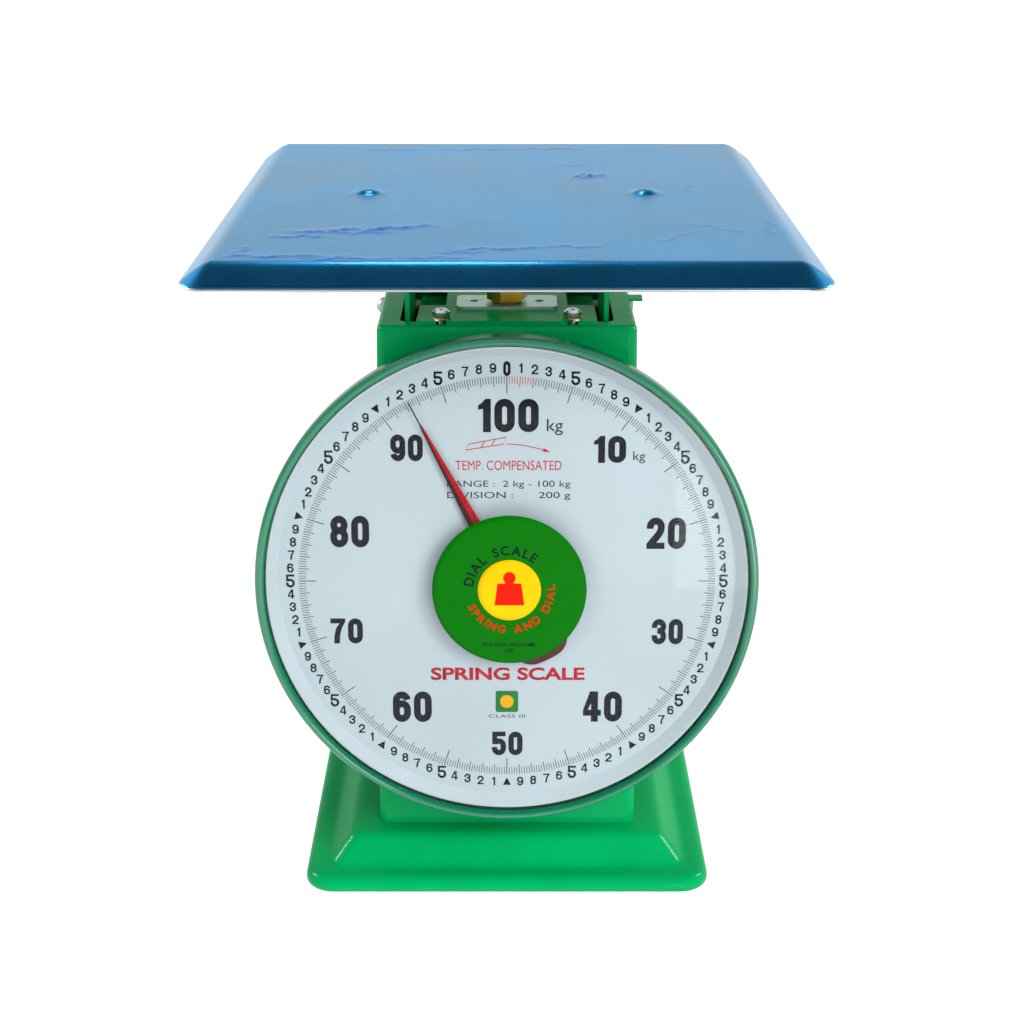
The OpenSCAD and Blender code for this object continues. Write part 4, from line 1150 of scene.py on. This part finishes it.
def floor():
    """Wide sheet of pale paper with a little light of its own, so that it fades out to white."""
    mesh = bpy.data.meshes.new("floor")
    half = FLOOR_HALF
    corners = [(-half, -half, 0), (half, -half, 0), (half, half, 0), (-half, half, 0)]
    mesh.from_pydata(corners, [], [(0, 1, 2, 3)])
    paper = surface("floor_paper", (0.6, 0.6, 0.6), 0.9, spread=0.01, scale=3.0, bump=0.02, specular=0.1)
    shader = paper.node_tree.nodes["Principled BSDF"]
    shader.inputs["Emission Color"].default_value = (1, 1, 1, 1)
    shader.inputs["Emission Strength"].default_value = FLOOR_GLOW
    mesh.materials.append(paper)
    obj = bpy.data.objects.new("floor", mesh)
    bpy.context.scene.collection.objects.link(obj)


def soft_light(name, place, aim, size, power, diffuse=True, glossy=True):
    """Soft box aimed at a point. It can be left out of the diffuse light or out of the reflections."""
    data = bpy.data.lights.new(name, "AREA")
    data.shape = "RECTANGLE"
    data.size = size[0]
    data.size_y = size[1]
    data.energy = power
    obj = bpy.data.objects.new(name, data)
    obj.location = place
    obj.rotation_euler = (Vector(aim) - Vector(place)).to_track_quat("-Z", "Y").to_euler()
    obj.visible_camera = False
    obj.visible_diffuse = diffuse
    obj.visible_glossy = glossy
    bpy.context.scene.collection.objects.link(obj)


def fade(nodes, links, source, low, high, at_low, at_high):
    """Node that fades from one brightness to another along one direction."""
    node = nodes.new("ShaderNodeMapRange")
    node.inputs["From Min"].default_value = low
    node.inputs["From Max"].default_value = high
    node.inputs["To Min"].default_value = at_low
    node.inputs["To Max"].default_value = at_high
    links.new(source, node.inputs["Value"])
    return node.outputs["Result"]


def studio():
    """White wall behind the scale, dark room in front and overhead, soft boxes and a soft key light."""
    world = bpy.data.worlds.new("studio")
    world.use_nodes = True
    nodes = world.node_tree.nodes
    links = world.node_tree.links
    place = nodes.new("ShaderNodeTexCoord")
    split = nodes.new("ShaderNodeSeparateXYZ")
    links.new(place.outputs["Generated"], split.inputs["Vector"])
    depth = fade(nodes, links, split.outputs["Y"], -0.4, 0.15, 0.35, 1.0)
    height = fade(nodes, links, split.outputs["Z"], 0.42, 0.78, 1.0, 0.14)
    both = nodes.new("ShaderNodeMath")
    both.operation = "MULTIPLY"
    links.new(depth, both.inputs[0])
    links.new(height, both.inputs[1])
    links.new(both.outputs["Value"], nodes["Background"].inputs["Strength"])
    nodes["Background"].inputs["Color"].default_value = (1, 1, 1, 1)
    bpy.context.scene.world = world
    bpy.context.scene.view_settings.view_transform = "Standard"
    sun = bpy.data.lights.new("key", "SUN")
    sun.energy = KEY_STRENGTH
    sun.angle = math.radians(KEY_WIDTH)
    lamp = bpy.data.objects.new("key", sun)
    lamp.rotation_euler = Vector(KEY_DIRECTION).to_track_quat("-Z", "Y").to_euler()
    lamp.visible_glossy = False
    bpy.context.scene.collection.objects.link(lamp)
    soft_light("front_left", (-1.6, -1.6, 1.3), (0, 0, 0.2), (1.2, 1.2), 13, glossy=False)
    soft_light("front_right", (1.6, -1.6, 1.3), (0, 0, 0.2), (1.2, 1.2), 29, glossy=False)
    soft_light("top", (-0.12, 0.9, 1.8), (0, 0, 0.44), (0.34, 0.34), 3)
    soft_light("strip_left", (-1.6, 0.42, 1.15), (0, 0, 0.05), (0.3, 0.6), 24, diffuse=False)
    soft_light("strip_right", (1.6, 0.42, 1.15), (0, 0, 0.05), (0.3, 0.6), 24, diffuse=False)
    soft_light("panel", (0.36, -1.2, 0.32), (0.12, -0.12, 0.28), (0.19, 0.62), 1.3)


CAMERA_BACK = 1.0455
CAMERA_UP = 0.6666
CAMERA_PITCH = 21.6
CAMERA_LENS = 57.0
CAMERA_SHIFT = (0.005, -0.05)


def camera():
    """Camera straight in front of the scale, looking down at it."""
    data = bpy.data.cameras.new("camera")
    data.lens = CAMERA_LENS
    data.sensor_width = 36
    data.shift_x, data.shift_y = CAMERA_SHIFT
    data.clip_start = 0.05
    obj = bpy.data.objects.new("camera", data)
    obj.location = (0, -CAMERA_BACK, CAMERA_UP)
    obj.rotation_euler = (math.radians(90 - CAMERA_PITCH), 0, 0)
    bpy.context.scene.collection.objects.link(obj)
    bpy.context.scene.camera = obj


floor()
studio()
camera()
